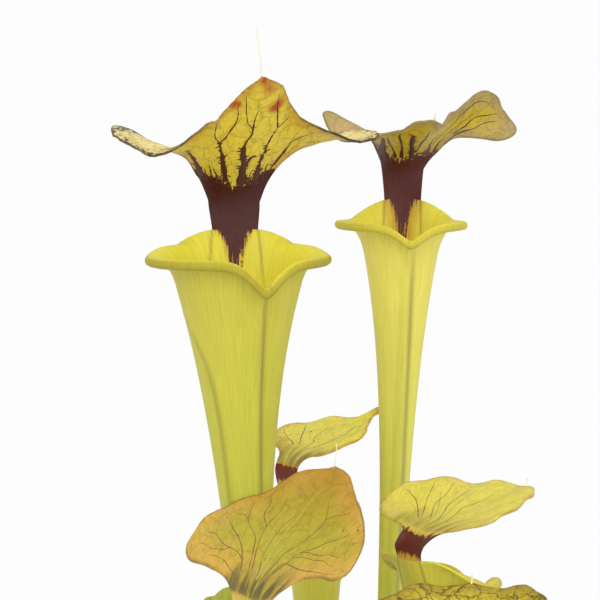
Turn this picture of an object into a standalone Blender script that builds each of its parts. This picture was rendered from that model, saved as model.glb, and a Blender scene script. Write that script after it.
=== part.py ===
"""A potted yellow pitcher plant: seven hollow pitcher leaves, the soil they stand in and a plain pot.

Metres, +Z up, standing on the underside of the pot, which is centred on the origin. The two tall
pitchers open towards -Y. Shape sizes below are in millimetres and are turned into metres on the way
into the mesh.

A pitcher leaf is one thin sheet with a thickness. Its tube is a ring of points at each height, whose
radius falls off exponentially below the mouth. Near the mouth the ring flares to a crest and rolls over
as the lip, except over a narrow arc at the back, where the wall runs straight up into the column. The
column and the lid are a second grid, which fans out from the neck to the lid's outline.
"""

import math

import bmesh
import bpy
import numpy as np

MM = 0.001

# Pot and soil
POT_HEIGHT = 115.0
POT_RIM_RADIUS = 74.0
POT_BASE_RADIUS = 52.0
POT_WALL = 2.0
POT_FLOOR = 3.0
POT_EDGE = 1.0
RIM_BAND_HEIGHT = 14.0
RIM_BAND_STEP = 2.5
POT_SIDES = 48
SOIL_LEVEL = 105.0
SOIL_DOME = 3.0
SOIL_RINGS = 7
SOIL_LUMP = 1.1
CLEARANCE = 0.3

# How a leaf stands in its hole in the soil
ROOT_DEPTH = 12.0
FOOT_SPREAD = 2.4
FOOT_FADE = 20.0
HOLE_SIDES = 20
HOLE_OVERRUN = 8.0

# The sheet of a leaf: its thickness, how the tube flares and rolls over at the mouth, and its ring
SHEET = 0.9
FLARE_START = 13.0
FLARE_BLEND = 46.0
CREST_SHARE = 0.62
ROLL_ANGLE = math.radians(165.0)
CURL_STEPS = 8
RING_EDGES = 18
EAR_EDGES = 4

# The keel fades in below the mouth and out above the soil
KEEL_HALF_WIDTH = 1.5
KEEL_FADE_TOP = 40.0
KEEL_FADE_FOOT = 60.0

# The lid: edges across it, steps that add up its slope, and the dry thread at its apex
LID_EDGES = 13
SLOPE_STEPS = 24
NECK_SPAN = 26.0
SHOULDER_AT = 11.0
SHOULDER_SPAN = 7.0
SCALE_SPAN = 30.0
RIPPLES = 17.0
TIP_HALF = 0.02
TIP_RADIUS = 0.65
TIP_AHEAD = 1.6

# Rows of points up a leaf. The hollow is open down to the row HOLLOW_ROW, and the foot below it is solid.
TUBE_ROWS = 8
MOUTH_SHARES = (0.3, CREST_SHARE, 0.8, 1.0)
COLUMN_ROWS = 3
FAN_ROWS = 6
HOLLOW_ROW = 2

# Half of a flat lid, sideways and forwards of the bend over the mouth. The front edge runs from the apex
# to the tip of the side lobe, and the rear edge from the neck to the same tip.
PADDLE_FRONT = [
    (0.0, 57.0),
    (8.5, 48.5),
    (16.0, 34.0),
    (25.0, 24.0),
    (34.0, 20.0),
    (46.0, 20.0),
    (54.5, 14.0),
    (57.0, 4.0),
]
PADDLE_REAR = [
    (10.0, -13.0),
    (13.0, -7.0),
    (17.0, -2.0),
    (21.0, 1.5),
    (27.0, 3.0),
    (35.0, 1.0),
    (46.0, -5.0),
    (54.0, -5.0),
    (57.0, 4.0),
]
ROUND_FRONT = [(0.0, 60.0), (12.0, 54.0), (23.0, 44.0), (34.0, 33.0), (40.0, 23.0), (43.0, 12.0)]
BROAD_FRONT = [(0.0, 60.0), (13.0, 58.0), (27.0, 51.0), (38.0, 38.0), (43.0, 24.0), (43.0, 12.0)]
POINTED_FRONT = [(0.0, 70.0), (2.5, 60.0), (7.0, 51.0), (17.0, 44.0), (30.0, 35.0), (39.0, 24.0), (43.0, 12.0)]
ROUND_REAR = [(8.5, -10.0), (10.5, -4.0), (15.0, -1.0), (21.0, 0.0), (30.0, 2.0), (38.0, 5.0), (43.0, 12.0)]
RAISED_REAR = [(8.5, -10.0), (10.0, -3.0), (14.0, 2.0), (21.0, 6.0), (30.0, 8.0), (38.0, 9.0), (43.0, 14.0)]

# Leaf table. Places and lengths in millimetres, angles in degrees, heights above the soil. A pair of lobe
# values is for the lobe on the leaf's own +X side and the one on its -X side, as seen facing the mouth.
# base, mouth: where the leaf leaves the soil, and the middle of its mouth
# turn: where the mouth faces, 0 towards -Y and positive towards +X
# stem, gain, taper: the tube's radius is stem + gain * exp(-depth / taper)
# reach: from the tube's middle to the lip's crest, at the side and at the front
# ear_angle, ear_rise: half the arc of wall that becomes the column, and how far the lip climbs to it
# notch, notch_width, notch_power: the spout in the front lip, in line with the keel at keel_turn
# column: length of the column, bend_end: where its bend over the mouth ends
# lid_tilt, lobe_tilts: slope of the lid's middle and of its lobes, which turn from start to end
# lobe_rises, rise_span, lobe_scales, shoulders, lid_scale: lift and size of the lobes and the lid
# lid_turn: twist of the lid about the column, wave: height of the ripple along its front edge
# tip_thread, tip_lean: length of the dry thread and its lean along X and Y
COMMON = {
    "stem": 4.0,
    "depth_ratio": 0.92,
    "keel": 2.2,
    "lip": 1.7,
    "ear_angle": 22.0,
    "ear_rise": 8.0,
    "notch": 12.0,
    "notch_width": 7.5,
    "notch_power": 1.6,
    "corner_point": 1.5,
    "column": 21.0,
    "column_roll": 1.6,
    "bend_end": 6.0,
    "lid_tilt": 45.0,
    "lobe_tilts": (-15.0, -15.0),
    "lobe_starts": (14.0, 14.0),
    "lobe_ends": (44.0, 44.0),
    "lobe_rises": (6.0, 6.0),
    "lid_turn": 0.0,
    "keel_turn": 0.0,
    "outline": (ROUND_FRONT, ROUND_REAR),
    "lobe_scales": (1.0, 1.0),
    "rise_span": 50.0,
    "shoulders": (1.0, 1.0),
    "lid_scale": 1.0,
    "wave": 0.8,
    "tip_thread": 3.0,
    "tip_lean": (0.0, 0.0),
}

LEAVES = {
    "pitcher_tall_left": {
        "base": (-13.0, -7.0),
        "mouth": (-26.0, -8.0, 321.5),
        "turn": 4.0,
        "keel_turn": 19.0,
        "lid_turn": 14.0,
        "gain": 23.6,
        "taper": 71.4,
        "reach": (34.5, 28.0),
        "ear_angle": 17.0,
        "outline": (PADDLE_FRONT, PADDLE_REAR),
        "lid_tilt": 49.0,
        "lobe_tilts": (-3.0, -17.0),
        "lobe_starts": (14.0, 8.0),
        "lobe_ends": (47.0, 43.0),
        "lobe_rises": (16.5, 19.5),
        "lobe_scales": (1.08, 0.92),
        "shoulders": (0.93, 0.77),
        "tip_thread": 18.0,
        "tip_lean": (-2.5, 2.0),
    },
    "pitcher_tall_right": {
        "base": (30.0, 30.0),
        "mouth": (39.2, 44.0, 329.3),
        "turn": -4.0,
        "keel_turn": 13.0,
        "lid_turn": 19.0,
        "stem": 3.5,
        "gain": 14.0,
        "taper": 58.0,
        "reach": (25.0, 21.0),
        "lip": 1.4,
        "notch": 9.0,
        "notch_width": 7.0,
        "column": 21.0,
        "outline": (PADDLE_FRONT, PADDLE_REAR),
        "lid_tilt": 20.0,
        "lobe_tilts": (66.0, -24.0),
        "lobe_starts": (4.0, 5.0),
        "lobe_ends": (30.0, 30.0),
        "lobe_rises": (14.0, 18.0),
        "lobe_scales": (0.92, 0.8),
        "lid_scale": 0.8,
    },
    "pitcher_back": {
        "base": (6.0, 32.0),
        "mouth": (6.0, 45.0, 211.0),
        "turn": 131.0,
        "stem": 3.5,
        "gain": 11.5,
        "taper": 60.0,
        "reach": (21.0, 18.0),
        "column": 18.0,
        "column_roll": 0.8,
        "outline": (POINTED_FRONT, ROUND_REAR),
        "lid_tilt": 14.0,
        "lobe_tilts": (17.0, 17.0),
        "lobe_scales": (0.95, 0.54),
        "lobe_rises": (3.0, 0.0),
        "shoulders": (1.0, 0.9),
        "lid_scale": 0.74,
        "tip_thread": 2.0,
    },
    "pitcher_front": {
        "base": (-3.0, -36.0),
        "mouth": (-4.5, -48.0, 178.0),
        "turn": 136.0,
        "stem": 3.5,
        "gain": 17.0,
        "taper": 60.0,
        "reach": (26.0, 22.0),
        "column": 16.0,
        "outline": (ROUND_FRONT, RAISED_REAR),
        "lid_tilt": 44.0,
        "lobe_tilts": (38.0, 42.0),
        "lobe_rises": (6.0, 5.0),
        "lobe_scales": (1.06, 0.94),
        "tip_thread": 8.0,
    },
    "pitcher_right": {
        "base": (44.0, -16.0),
        "mouth": (57.0, -24.0, 198.0),
        "turn": 130.0,
        "stem": 3.2,
        "gain": 13.5,
        "taper": 55.0,
        "reach": (22.0, 19.0),
        "column": 15.0,
        "lid_tilt": 9.0,
        "lobe_tilts": (24.0, 18.0),
        "lobe_ends": (38.0, 44.0),
        "lobe_scales": (0.92, 0.66),
        "lobe_rises": (4.0, 2.0),
        "lid_scale": 0.85,
    },
    "pitcher_low_right": {
        "base": (36.0, -46.0),
        "mouth": (56.0, -78.0, 158.0),
        "turn": 165.0,
        "stem": 3.0,
        "gain": 12.0,
        "taper": 50.0,
        "reach": (19.0, 17.0),
        "column": 12.0,
        "outline": (BROAD_FRONT, ROUND_REAR),
        "lid_tilt": 28.0,
        "lobe_tilts": (30.0, 42.0),
        "lobe_scales": (1.0, 1.0),
        "lobe_rises": (8.0, 12.0),
        "lid_scale": 0.8,
    },
    "pitcher_low_left": {
        "base": (-36.0, 12.0),
        "mouth": (-33.0, 24.0, 142.0),
        "turn": 170.0,
        "stem": 2.8,
        "gain": 6.5,
        "taper": 50.0,
        "reach": (12.0, 11.0),
        "lip": 1.3,
        "notch": 6.0,
        "column": 12.0,
        "lid_tilt": 35.0,
        "lobe_tilts": (20.0, 20.0),
        "lobe_scales": (0.5, 0.5),
        "lid_scale": 0.45,
    },
}

# Colour (linear RGB), roughness, metallic
LEAF_YELLOW = ((0.60, 0.56, 0.08), 0.45, 0.0)
POT_PLASTIC = ((0.030, 0.032, 0.030), 0.55, 0.0)
SOIL_BROWN = ((0.055, 0.035, 0.022), 0.95, 0.0)


def smooth_step(value):
    """0 below 0, 1 above 1 and 3x^2 - 2x^3 between."""
    x = np.clip(value, 0.0, 1.0)
    return x * x * (3.0 - 2.0 * x)


def smooth_path(points, share):
    """Points at the given shares of the length of a Catmull-Rom curve through the listed points."""
    knots = np.asarray(points, dtype=float)
    lengths = np.linalg.norm(np.diff(knots, axis=0), axis=1)
    marks = np.concatenate([[0.0], np.cumsum(lengths)])
    marks /= marks[-1]
    ends = np.vstack([2.0 * knots[0] - knots[1], knots, 2.0 * knots[-1] - knots[-2]])
    span = np.clip(np.searchsorted(marks, share, side="right") - 1, 0, len(knots) - 2)
    t = ((share - marks[span]) / (marks[span + 1] - marks[span]))[:, None]
    p0, p1, p2, p3 = ends[span], ends[span + 1], ends[span + 2], ends[span + 3]
    linear = (p2 - p0) * t
    square = (2.0 * p0 - 5.0 * p1 + 4.0 * p2 - p3) * t**2
    cube = (3.0 * p1 - p0 - 3.0 * p2 + p3) * t**3
    return 0.5 * (2.0 * p1 + linear + square + cube)


def tube_radius(leaf, depth):
    """stem + gain * exp(-depth / taper), widened again at the foot. Depth is below the mouth."""
    above_soil = leaf["mouth"][2] - depth
    foot = FOOT_SPREAD * np.exp(-np.maximum(above_soil, 0.0) / FOOT_FADE)
    return leaf["stem"] + leaf["gain"] * np.exp(-depth / leaf["taper"]) + foot


def ring_angles(leaf):
    """Angles round the tube from the back: an even arc at the back, then denser at the ears and the keel."""
    ear = math.radians(leaf["ear_angle"])
    back = np.linspace(-ear, ear, EAR_EDGES + 1)
    even = np.linspace(0.0, 1.0, RING_EDGES // 2 + 1)[1:]
    dense = 0.35 * even + 0.65 * smooth_step(even)
    right = ear + (keel_angle(leaf) - ear) * dense
    left = 2.0 * math.pi - ear - (2.0 * math.pi - ear - keel_angle(leaf)) * dense[:-1]
    return np.concatenate([back, right, left[::-1]])


def keel_angle(leaf):
    """Where the keel and the spout notch stand round the tube, near its front."""
    return math.pi - math.radians(leaf["keel_turn"])


def off_keel(leaf, angle):
    """How far round from the keel an angle is, from 0 to pi."""
    return np.abs(np.mod(angle - keel_angle(leaf) + math.pi, 2.0 * math.pi) - math.pi)


def spout_dip(leaf, angle):
    """Depth of the spout notch in the front lip at an angle."""
    offset = off_keel(leaf, angle) * leaf["reach"][1]
    return leaf["notch"] * np.exp(-((offset / leaf["notch_width"]) ** leaf["notch_power"]))


def keel_bump(leaf, angle, radius, depth):
    """The keel down the front: a narrow raised line, strongest along the middle of the tube."""
    off_front = off_keel(leaf, angle) * radius
    above_soil = leaf["mouth"][2] - depth
    height = leaf["keel"] * smooth_step(depth / KEEL_FADE_TOP) * smooth_step(above_soil / KEEL_FADE_FOOT)
    return height * np.exp(-((off_front / KEEL_HALF_WIDTH) ** 2))


def wall_slope(leaf):
    """How fast the tube's wall leans outwards where the column begins."""
    return leaf["gain"] / leaf["taper"] * math.exp(leaf["ear_rise"] / leaf["taper"])


def mouth_rows(leaf, angle):
    """Rows of the flare and the lip, as sideways, forwards, up, for the shares of the way up the mouth.

    Up to the crest a row blends from the plain tube wall to a quadratic curve out to the crest. Beyond it
    the sheet's direction turns steadily, from the wall's lean at the back to a full roll elsewhere.
    """
    around = np.mod(angle + math.pi, 2.0 * math.pi) - math.pi
    back = np.maximum(np.cos(around), 0.0)
    front = np.maximum(-np.cos(around), 0.0)
    side = np.abs(np.sin(around))
    side_reach, front_reach = leaf["reach"]
    back_reach = float(tube_radius(leaf, 0.0)) + 1.0
    crest = back_reach * back**2 + front_reach * front**2 + side_reach * side**2
    crest = crest + leaf["corner_point"] * np.exp(-(((np.degrees(np.abs(around)) - 90.0) / 20.0) ** 2))
    dip = spout_dip(leaf, angle)
    crest_height = leaf["ear_rise"] * back**0.75 - dip
    start_height = -FLARE_START - dip
    start_radius = tube_radius(leaf, -start_height) + keel_bump(leaf, around, crest, -start_height)
    flared = smooth_step((np.abs(np.degrees(around)) - leaf["ear_angle"]) / FLARE_BLEND)
    knee = start_radius + 0.25 * (crest - start_radius)
    lean = math.atan(wall_slope(leaf))
    straight = (1.0 - CREST_SHARE) * (crest_height - start_height)
    lip_length = straight + flared * (leaf["lip"] * ROLL_ANGLE - straight)
    rows = []
    for share in MOUTH_SHARES:
        t = min(share / CREST_SHARE, 1.0)
        up = start_height + t * CREST_SHARE * (crest_height - start_height)
        radius = (1 - t) ** 2 * start_radius + 2 * t * (1 - t) * knee + t**2 * crest
        height = (1 - t) ** 2 * start_height + 2 * t * (1 - t) * (crest_height - 0.5) + t**2 * crest_height
        radius = tube_radius(leaf, -up) + flared * (radius - tube_radius(leaf, -up))
        height = up + flared * (height - up)
        curled = max(0.0, (share - CREST_SHARE) / (1.0 - CREST_SHARE))
        for step in range(CURL_STEPS):
            swing = math.pi / 2 - lean + ROLL_ANGLE * curled * (step + 0.5) / CURL_STEPS
            radius = radius + lip_length * curled / CURL_STEPS * np.sin(lean + flared * swing)
            height = height + lip_length * curled / CURL_STEPS * np.cos(lean + flared * swing)
        ratio = leaf["depth_ratio"] + (1.0 - leaf["depth_ratio"]) * share
        rows.append(np.stack([radius * np.sin(around), -ratio * radius * np.cos(around), height], axis=1))
    return rows


def tube_rows(leaf, angle):
    """Rows of the tube from the root up to the flare, following the mouth's spout at the front."""
    mouth_height = leaf["mouth"][2]
    lowest = mouth_height + ROOT_DEPTH
    top = FLARE_START + spout_dip(leaf, angle)
    rows = []
    for share in np.linspace(1.0, 0.0, TUBE_ROWS, endpoint=False):
        depth = top + (lowest - top) * share**1.7
        radius = tube_radius(leaf, depth)
        radius = radius + keel_bump(leaf, angle, radius, depth)
        points = [radius * np.sin(angle), -leaf["depth_ratio"] * radius * np.cos(angle), -depth]
        rows.append(np.stack(points, axis=1))
    return rows


def lid_direction(leaf, sideways, forwards):
    """Slope of the lid in the up-forward plane, in radians above level, at a place in the flat lid.

    The column runs straight up from the tube's back wall, which leans back a little. It bends over the
    mouth into the lid, whose side lobes turn about the lateral axis, each to its own tilt.
    """
    column_angle = math.pi / 2 + math.atan(wall_slope(leaf) * leaf["depth_ratio"])
    start = np.where(sideways > 0.0, *leaf["lobe_starts"])
    end = np.where(sideways > 0.0, *leaf["lobe_ends"])
    lobe = np.where(sideways > 0.0, *leaf["lobe_tilts"])
    away = (np.abs(sideways) - start) / (end - start)
    tilt = np.radians(leaf["lid_tilt"] + (lobe - leaf["lid_tilt"]) * smooth_step(away))
    climb = smooth_step((leaf["bend_end"] - forwards) / (leaf["bend_end"] + leaf["column"]))
    narrow = np.exp(-((sideways / NECK_SPAN) ** 4))
    return tilt + (column_angle - tilt) * climb * narrow


def lid_place(leaf, sideways, forwards):
    """Carry flat lid coordinates into space by adding up short steps along the lid's own slope."""
    along = np.zeros_like(sideways)
    up = np.zeros_like(sideways)
    for step in range(SLOPE_STEPS):
        slope = lid_direction(leaf, sideways, forwards * (step + 0.5) / SLOPE_STEPS)
        along = along + np.cos(slope) * forwards / SLOPE_STEPS
        up = up + np.sin(slope) * forwards / SLOPE_STEPS
    rise = np.where(sideways > 0.0, *leaf["lobe_rises"])
    up = up + rise * smooth_step(np.abs(sideways) / leaf["rise_span"])
    turned = smooth_step((forwards + leaf["column"]) / (leaf["column"] + leaf["bend_end"]))
    turn = math.radians(leaf["lid_turn"]) * turned
    across = sideways * np.cos(turn) + along * np.sin(turn)
    along = along * np.cos(turn) - sideways * np.sin(turn)
    return np.stack([across, along, up], axis=-1)


def lid_across():
    """Shares across the lid, with one narrow edge at the apex where the dry tip grows."""
    half = TIP_HALF + (1.0 - TIP_HALF) * np.linspace(0.0, 1.0, (LID_EDGES - 1) // 2 + 1)[1:]
    return np.concatenate([-half[::-1], [-TIP_HALF, TIP_HALF], half])


def flat_lid(leaf, across, share):
    """Flat place in the fan: a patch blended from the neck, the front edge, the midline and the rear edge."""
    front_points, rear_points = leaf["outline"]
    u = np.abs(across)[:, None]
    front = smooth_path(front_points, np.abs(across)) * leaf["lid_scale"]
    rear = smooth_path(rear_points, np.array([share])) * leaf["lid_scale"]
    neck_edge = np.array(rear_points[0]) * leaf["lid_scale"]
    neck = neck_edge * np.concatenate([u, np.ones_like(u)], axis=1)
    middle = np.array([0.0, neck_edge[1] + share * (front_points[0][1] * leaf["lid_scale"] - neck_edge[1])])
    bottom_corners = (1 - u) * np.array([0.0, neck_edge[1]]) + u * neck_edge
    top_corners = (1 - u) * front_points[0] * leaf["lid_scale"] + u * rear_points[-1] * leaf["lid_scale"]
    corners = (1 - share) * bottom_corners + share * top_corners
    flat = (1 - share) * neck + share * front + (1 - u) * middle + u * rear - corners
    widen = np.where(across > 0.0, *leaf["lobe_scales"]) - 1.0
    shoulder = np.where(across > 0.0, *leaf["shoulders"]) - 1.0
    at_shoulder = np.exp(-(((flat[:, 0] - SHOULDER_AT) / SHOULDER_SPAN) ** 2))
    flat[:, 1] *= 1.0 + shoulder * share * at_shoulder
    flat[:, 0] *= np.sign(across) * (1.0 + widen * smooth_step(flat[:, 0] / SCALE_SPAN))
    return flat


def lid_rows(leaf, across):
    """Rows of the column, from just above the ears to the neck, and of the lid's fan."""
    back_reach = float(tube_radius(leaf, -leaf["ear_rise"]))
    arc = across * math.radians(leaf["ear_angle"])
    ear_half = back_reach * np.sin(arc)
    arc_forward = leaf["depth_ratio"] * back_reach * (1.0 - np.cos(arc))
    column = leaf["column"]
    foot = lid_place(leaf, np.zeros(1), np.array([-column]))[0]
    neck_half, neck_at = (value * leaf["lid_scale"] for value in leaf["outline"][1][0])
    rows = []
    for share in np.linspace(0.0, 1.0, COLUMN_ROWS + 1)[1:]:
        narrowing = smooth_step(share)
        sideways = ear_half + (neck_half * across - ear_half) * narrowing
        points = lid_place(leaf, sideways, np.full_like(across, -column + share * (column + neck_at)))
        points[:, 1] += (1.0 - narrowing) * arc_forward - narrowing * leaf["column_roll"] * across**4
        rows.append(points)
    for share in np.linspace(0.0, 1.0, FAN_ROWS + 1)[1:]:
        flat = flat_lid(leaf, across, share)
        points = lid_place(leaf, flat[:, 0], flat[:, 1])
        points[:, 1] -= leaf["column_roll"] * (1.0 - share) ** 2 * across**4
        points[:, 2] += leaf["wave"] * share**2 * np.sin(across * RIPPLES + leaf["turn"])
        rows.append(points)
    shift = np.array([0.0, -leaf["depth_ratio"] * back_reach, leaf["ear_rise"]]) - foot
    return [row + shift for row in rows]


def to_world(leaf, points):
    """Turn a leaf's sideways, forwards, up into world millimetres along its curved centreline."""
    turn = math.radians(leaf["turn"])
    mouth_x, mouth_y, mouth_height = leaf["mouth"]
    base_x, base_y = leaf["base"]
    bend = smooth_step(-points[:, 2] / mouth_height)
    x = points[:, 0] * math.cos(turn) + points[:, 1] * math.sin(turn) + mouth_x + (base_x - mouth_x) * bend
    y = points[:, 0] * math.sin(turn) - points[:, 1] * math.cos(turn) + mouth_y + (base_y - mouth_y) * bend
    return np.stack([x, y, points[:, 2] + mouth_height + SOIL_LEVEL], axis=1)


def leaf_settings(name):
    """A leaf's own values over the common ones."""
    return {**COMMON, **LEAVES[name]}


def zip_rows(low, high):
    """Triangles between two rows of points that run the same way but have different counts."""
    triangles = []
    i = 0
    j = 0
    while i < len(low) - 1 or j < len(high) - 1:
        next_low = (i + 1) / (len(low) - 1)
        next_high = (j + 1) / (len(high) - 1)
        if next_low <= next_high:
            triangles.append((low[i], high[j], low[i + 1]))
            i += 1
        else:
            triangles.append((low[i], high[j], high[j + 1]))
            j += 1
    return triangles


def grid_triangles(points, rows, closed):
    """Two triangles for each cell between neighbouring rows, split along its shorter diagonal."""
    triangles = []
    for low, high in zip(rows[:-1], rows[1:]):
        count = len(low) if closed else len(low) - 1
        for j in range(count):
            a, d = low[j], high[j]
            b, c = low[(j + 1) % len(low)], high[(j + 1) % len(low)]
            if np.linalg.norm(points[a] - points[c]) <= np.linalg.norm(points[b] - points[d]):
                triangles += [(a, c, b), (a, d, c)]
            else:
                triangles += [(a, d, b), (b, d, c)]
    return triangles


def leaf_sheet(leaf):
    """The leaf's middle surface: points, triangles, the index rows of its ring, and its apex edge.

    The triangles face inwards here, because to_world swaps the hand and turns them outwards.
    """
    angle = ring_angles(leaf)
    ring = tube_rows(leaf, angle) + mouth_rows(leaf, angle)
    across = lid_across()
    fan = lid_rows(leaf, across)
    points = np.vstack(ring + fan)
    ring_ids = [np.arange(len(angle)) + i * len(angle) for i in range(len(ring))]
    first = len(ring) * len(angle)
    fan_ids = [np.arange(len(across)) + first + i * len(across) for i in range(len(fan))]
    triangles = grid_triangles(points, ring_ids, True)
    triangles += zip_rows(ring_ids[-1][: EAR_EDGES + 1], fan_ids[0])
    triangles += grid_triangles(points, fan_ids, False)
    apex = (fan_ids[-1][len(across) // 2 - 1], fan_ids[-1][len(across) // 2])
    return points, triangles, ring_ids, apex


def point_normals(points, triangles):
    """Area-weighted normals of the sheet's points."""
    corners = points[np.array(triangles)]
    face = np.cross(corners[:, 1] - corners[:, 0], corners[:, 2] - corners[:, 0])
    normals = np.zeros_like(points)
    for corner in range(3):
        np.add.at(normals, np.array(triangles)[:, corner], face)
    return normals / np.linalg.norm(normals, axis=1)[:, None]


def free_edges(triangles):
    """Directed edges that only one triangle has."""
    edges = {}
    for a, b, c in triangles:
        for edge in ((a, b), (b, c), (c, a)):
            edges[edge] = True
    return [edge for edge in edges if (edge[1], edge[0]) not in edges]


def leaf_solid(leaf):
    """The leaf as one closed body: outer face, inner face of the hollow, rims and the dry tip."""
    points, triangles, ring_ids, apex = leaf_sheet(leaf)
    points = to_world(leaf, points)
    normals = point_normals(points, triangles)
    outer = points + normals * SHEET / 2
    inner = points - normals * SHEET / 2
    count = len(points)
    hidden = {int(i) for row in ring_ids[:HOLLOW_ROW] for i in row}
    faces = [tuple(int(i) for i in t) for t in triangles]
    inner_faces = [(c + count, b + count, a + count) for a, b, c in faces if not hidden & {a, b, c}]
    vertices = list(outer) + list(inner)
    rims = []
    for a, b in free_edges(faces):
        if a not in hidden and b not in hidden:
            rims.append((b, a, a + count, b + count))
    tip_rim = next(rim for rim in rims if {rim[0], rim[1]} == {int(apex[0]), int(apex[1])})
    rims.remove(tip_rim)
    rims += add_tip(leaf, vertices, tip_rim)
    caps = fan_cap(vertices, [int(i) for i in ring_ids[0]], True)
    caps += fan_cap(vertices, [int(i) + count for i in ring_ids[HOLLOW_ROW]], False)
    return vertices, faces + inner_faces + rims + caps


def fan_cap(vertices, ring, facing_down):
    """Close a ring of vertices with a fan round its middle point."""
    centre = len(vertices)
    vertices.append(np.mean([vertices[i] for i in ring], axis=0))
    following = ring[1:] + ring[:1]
    if facing_down:
        return [(a, b, centre) for a, b in zip(ring, following)]
    return [(b, a, centre) for a, b in zip(ring, following)]


def add_tip(leaf, vertices, rim):
    """Draw the apex rim out into the dry thread that ends the lid: ahead first, then upwards and thinner."""
    corners = np.array([vertices[i] for i in rim])
    middle = corners.mean(axis=0)
    offsets = corners - middle
    offsets /= np.linalg.norm(offsets, axis=1)[:, None]
    ahead = np.cross(corners[2] - corners[0], corners[3] - corners[1])
    ahead /= np.linalg.norm(ahead)
    lean_x, lean_y = leaf["tip_lean"]
    faces = []
    last = rim
    for share in (0.12, 0.55, 1.0):
        climb = np.array([lean_x * share**2, lean_y * share**2, leaf["tip_thread"] * share**1.5])
        place = middle + ahead * TIP_AHEAD * (1.0 - (1.0 - share) ** 2) + climb
        ring = tuple(range(len(vertices), len(vertices) + 4))
        vertices.extend(place + offsets * (TIP_RADIUS - 0.15 * share))
        faces.extend((last[k], last[k - 3], ring[k - 3], ring[k]) for k in range(4))
        last = ring
    faces.append(last)
    return faces


def new_material(name, look):
    """A plain Principled material in one colour."""
    colour, roughness, metallic = look
    material = bpy.data.materials.new(name)
    material.use_nodes = True
    shader = material.node_tree.nodes["Principled BSDF"]
    shader.inputs["Base Color"].default_value = (*colour, 1.0)
    shader.inputs["Roughness"].default_value = roughness
    shader.inputs["Metallic"].default_value = metallic
    return material


def add_object(name, vertices, faces, material):
    """A mesh object from millimetre vertices, shaded smooth up to 35 degrees."""
    mesh = bpy.data.meshes.new(name)
    mesh.from_pydata([tuple(float(c) * MM for c in v) for v in vertices], [], faces)
    mesh.update()
    mesh.shade_smooth()
    mesh.set_sharp_from_angle(angle=math.radians(35.0))
    mesh.materials.append(material)
    built = bpy.data.objects.new(name, mesh)
    bpy.context.collection.objects.link(built)
    return built


def lathe(name, profile, sides, material):
    """Turn a closed profile of radius, height pairs, starting and ending on the axis."""
    angles = np.linspace(0.0, 2.0 * math.pi, sides, endpoint=False)
    vertices = []
    rings = []
    for radius, height in profile:
        if radius == 0.0:
            rings.append([len(vertices)] * sides)
            vertices.append((0.0, 0.0, height))
            continue
        rings.append(list(range(len(vertices), len(vertices) + sides)))
        vertices.extend((radius * math.cos(a), radius * math.sin(a), height) for a in angles)
    faces = []
    for low, high in zip(rings[:-1], rings[1:]):
        for j in range(sides):
            k = (j + 1) % sides
            corners = dict.fromkeys((low[j], low[k], high[k], high[j]))
            faces.append(tuple(corners))
    return add_object(name, vertices, faces, material)


def pot_radius(height):
    """Outer radius of the pot's tapered wall."""
    return POT_BASE_RADIUS + (POT_RIM_RADIUS - RIM_BAND_STEP - POT_BASE_RADIUS) * height / POT_HEIGHT


def add_pot():
    """The plain pot: tapered wall, a thicker band at the rim, flat underside."""
    band = POT_HEIGHT - RIM_BAND_HEIGHT
    profile = [
        (0.0, 0.0),
        (POT_BASE_RADIUS - POT_EDGE, 0.0),
        (POT_BASE_RADIUS, POT_EDGE),
        (pot_radius(band), band),
        (pot_radius(band) + RIM_BAND_STEP, band + POT_EDGE),
        (POT_RIM_RADIUS, POT_HEIGHT - POT_EDGE),
        (POT_RIM_RADIUS - POT_EDGE, POT_HEIGHT),
        (pot_radius(POT_HEIGHT) - POT_WALL, POT_HEIGHT),
        (pot_radius(POT_FLOOR) - POT_WALL, POT_FLOOR),
        (0.0, POT_FLOOR),
    ]
    return lathe("pot", profile, POT_SIDES, new_material("pot_plastic", POT_PLASTIC))


def add_soil():
    """The soil plug, uneven on top, with a plain hole for each leaf."""
    bottom = POT_FLOOR + CLEARANCE
    inset = POT_WALL + CLEARANCE
    profile = [(0.0, bottom), (pot_radius(bottom) - inset, bottom)]
    edge = pot_radius(SOIL_LEVEL) - inset
    for ring in range(SOIL_RINGS):
        radius = edge * (1.0 - ring / SOIL_RINGS)
        profile.append((radius, SOIL_LEVEL + SOIL_DOME * (1.0 - (radius / edge) ** 2)))
    profile.append((0.0, SOIL_LEVEL + SOIL_DOME))
    soil = lathe("soil", profile, POT_SIDES, new_material("peat_soil", SOIL_BROWN))
    for vertex in soil.data.vertices:
        x, y, z = (c / MM for c in vertex.co)
        if z > SOIL_LEVEL + CLEARANCE:
            lump = math.sin(0.21 * x + 1.0) * math.cos(0.17 * y) + math.sin(0.4 * (x - y))
            vertex.co.z += SOIL_LUMP * MM * lump
    return soil


def stem_hole_radius(leaf):
    """Radius of the soil hole round a leaf's foot, measured to the flats of the hole's sides."""
    foot = float(tube_radius(leaf, leaf["mouth"][2])) + SHEET / 2
    return (foot + CLEARANCE) / math.cos(math.pi / HOLE_SIDES)


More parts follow.
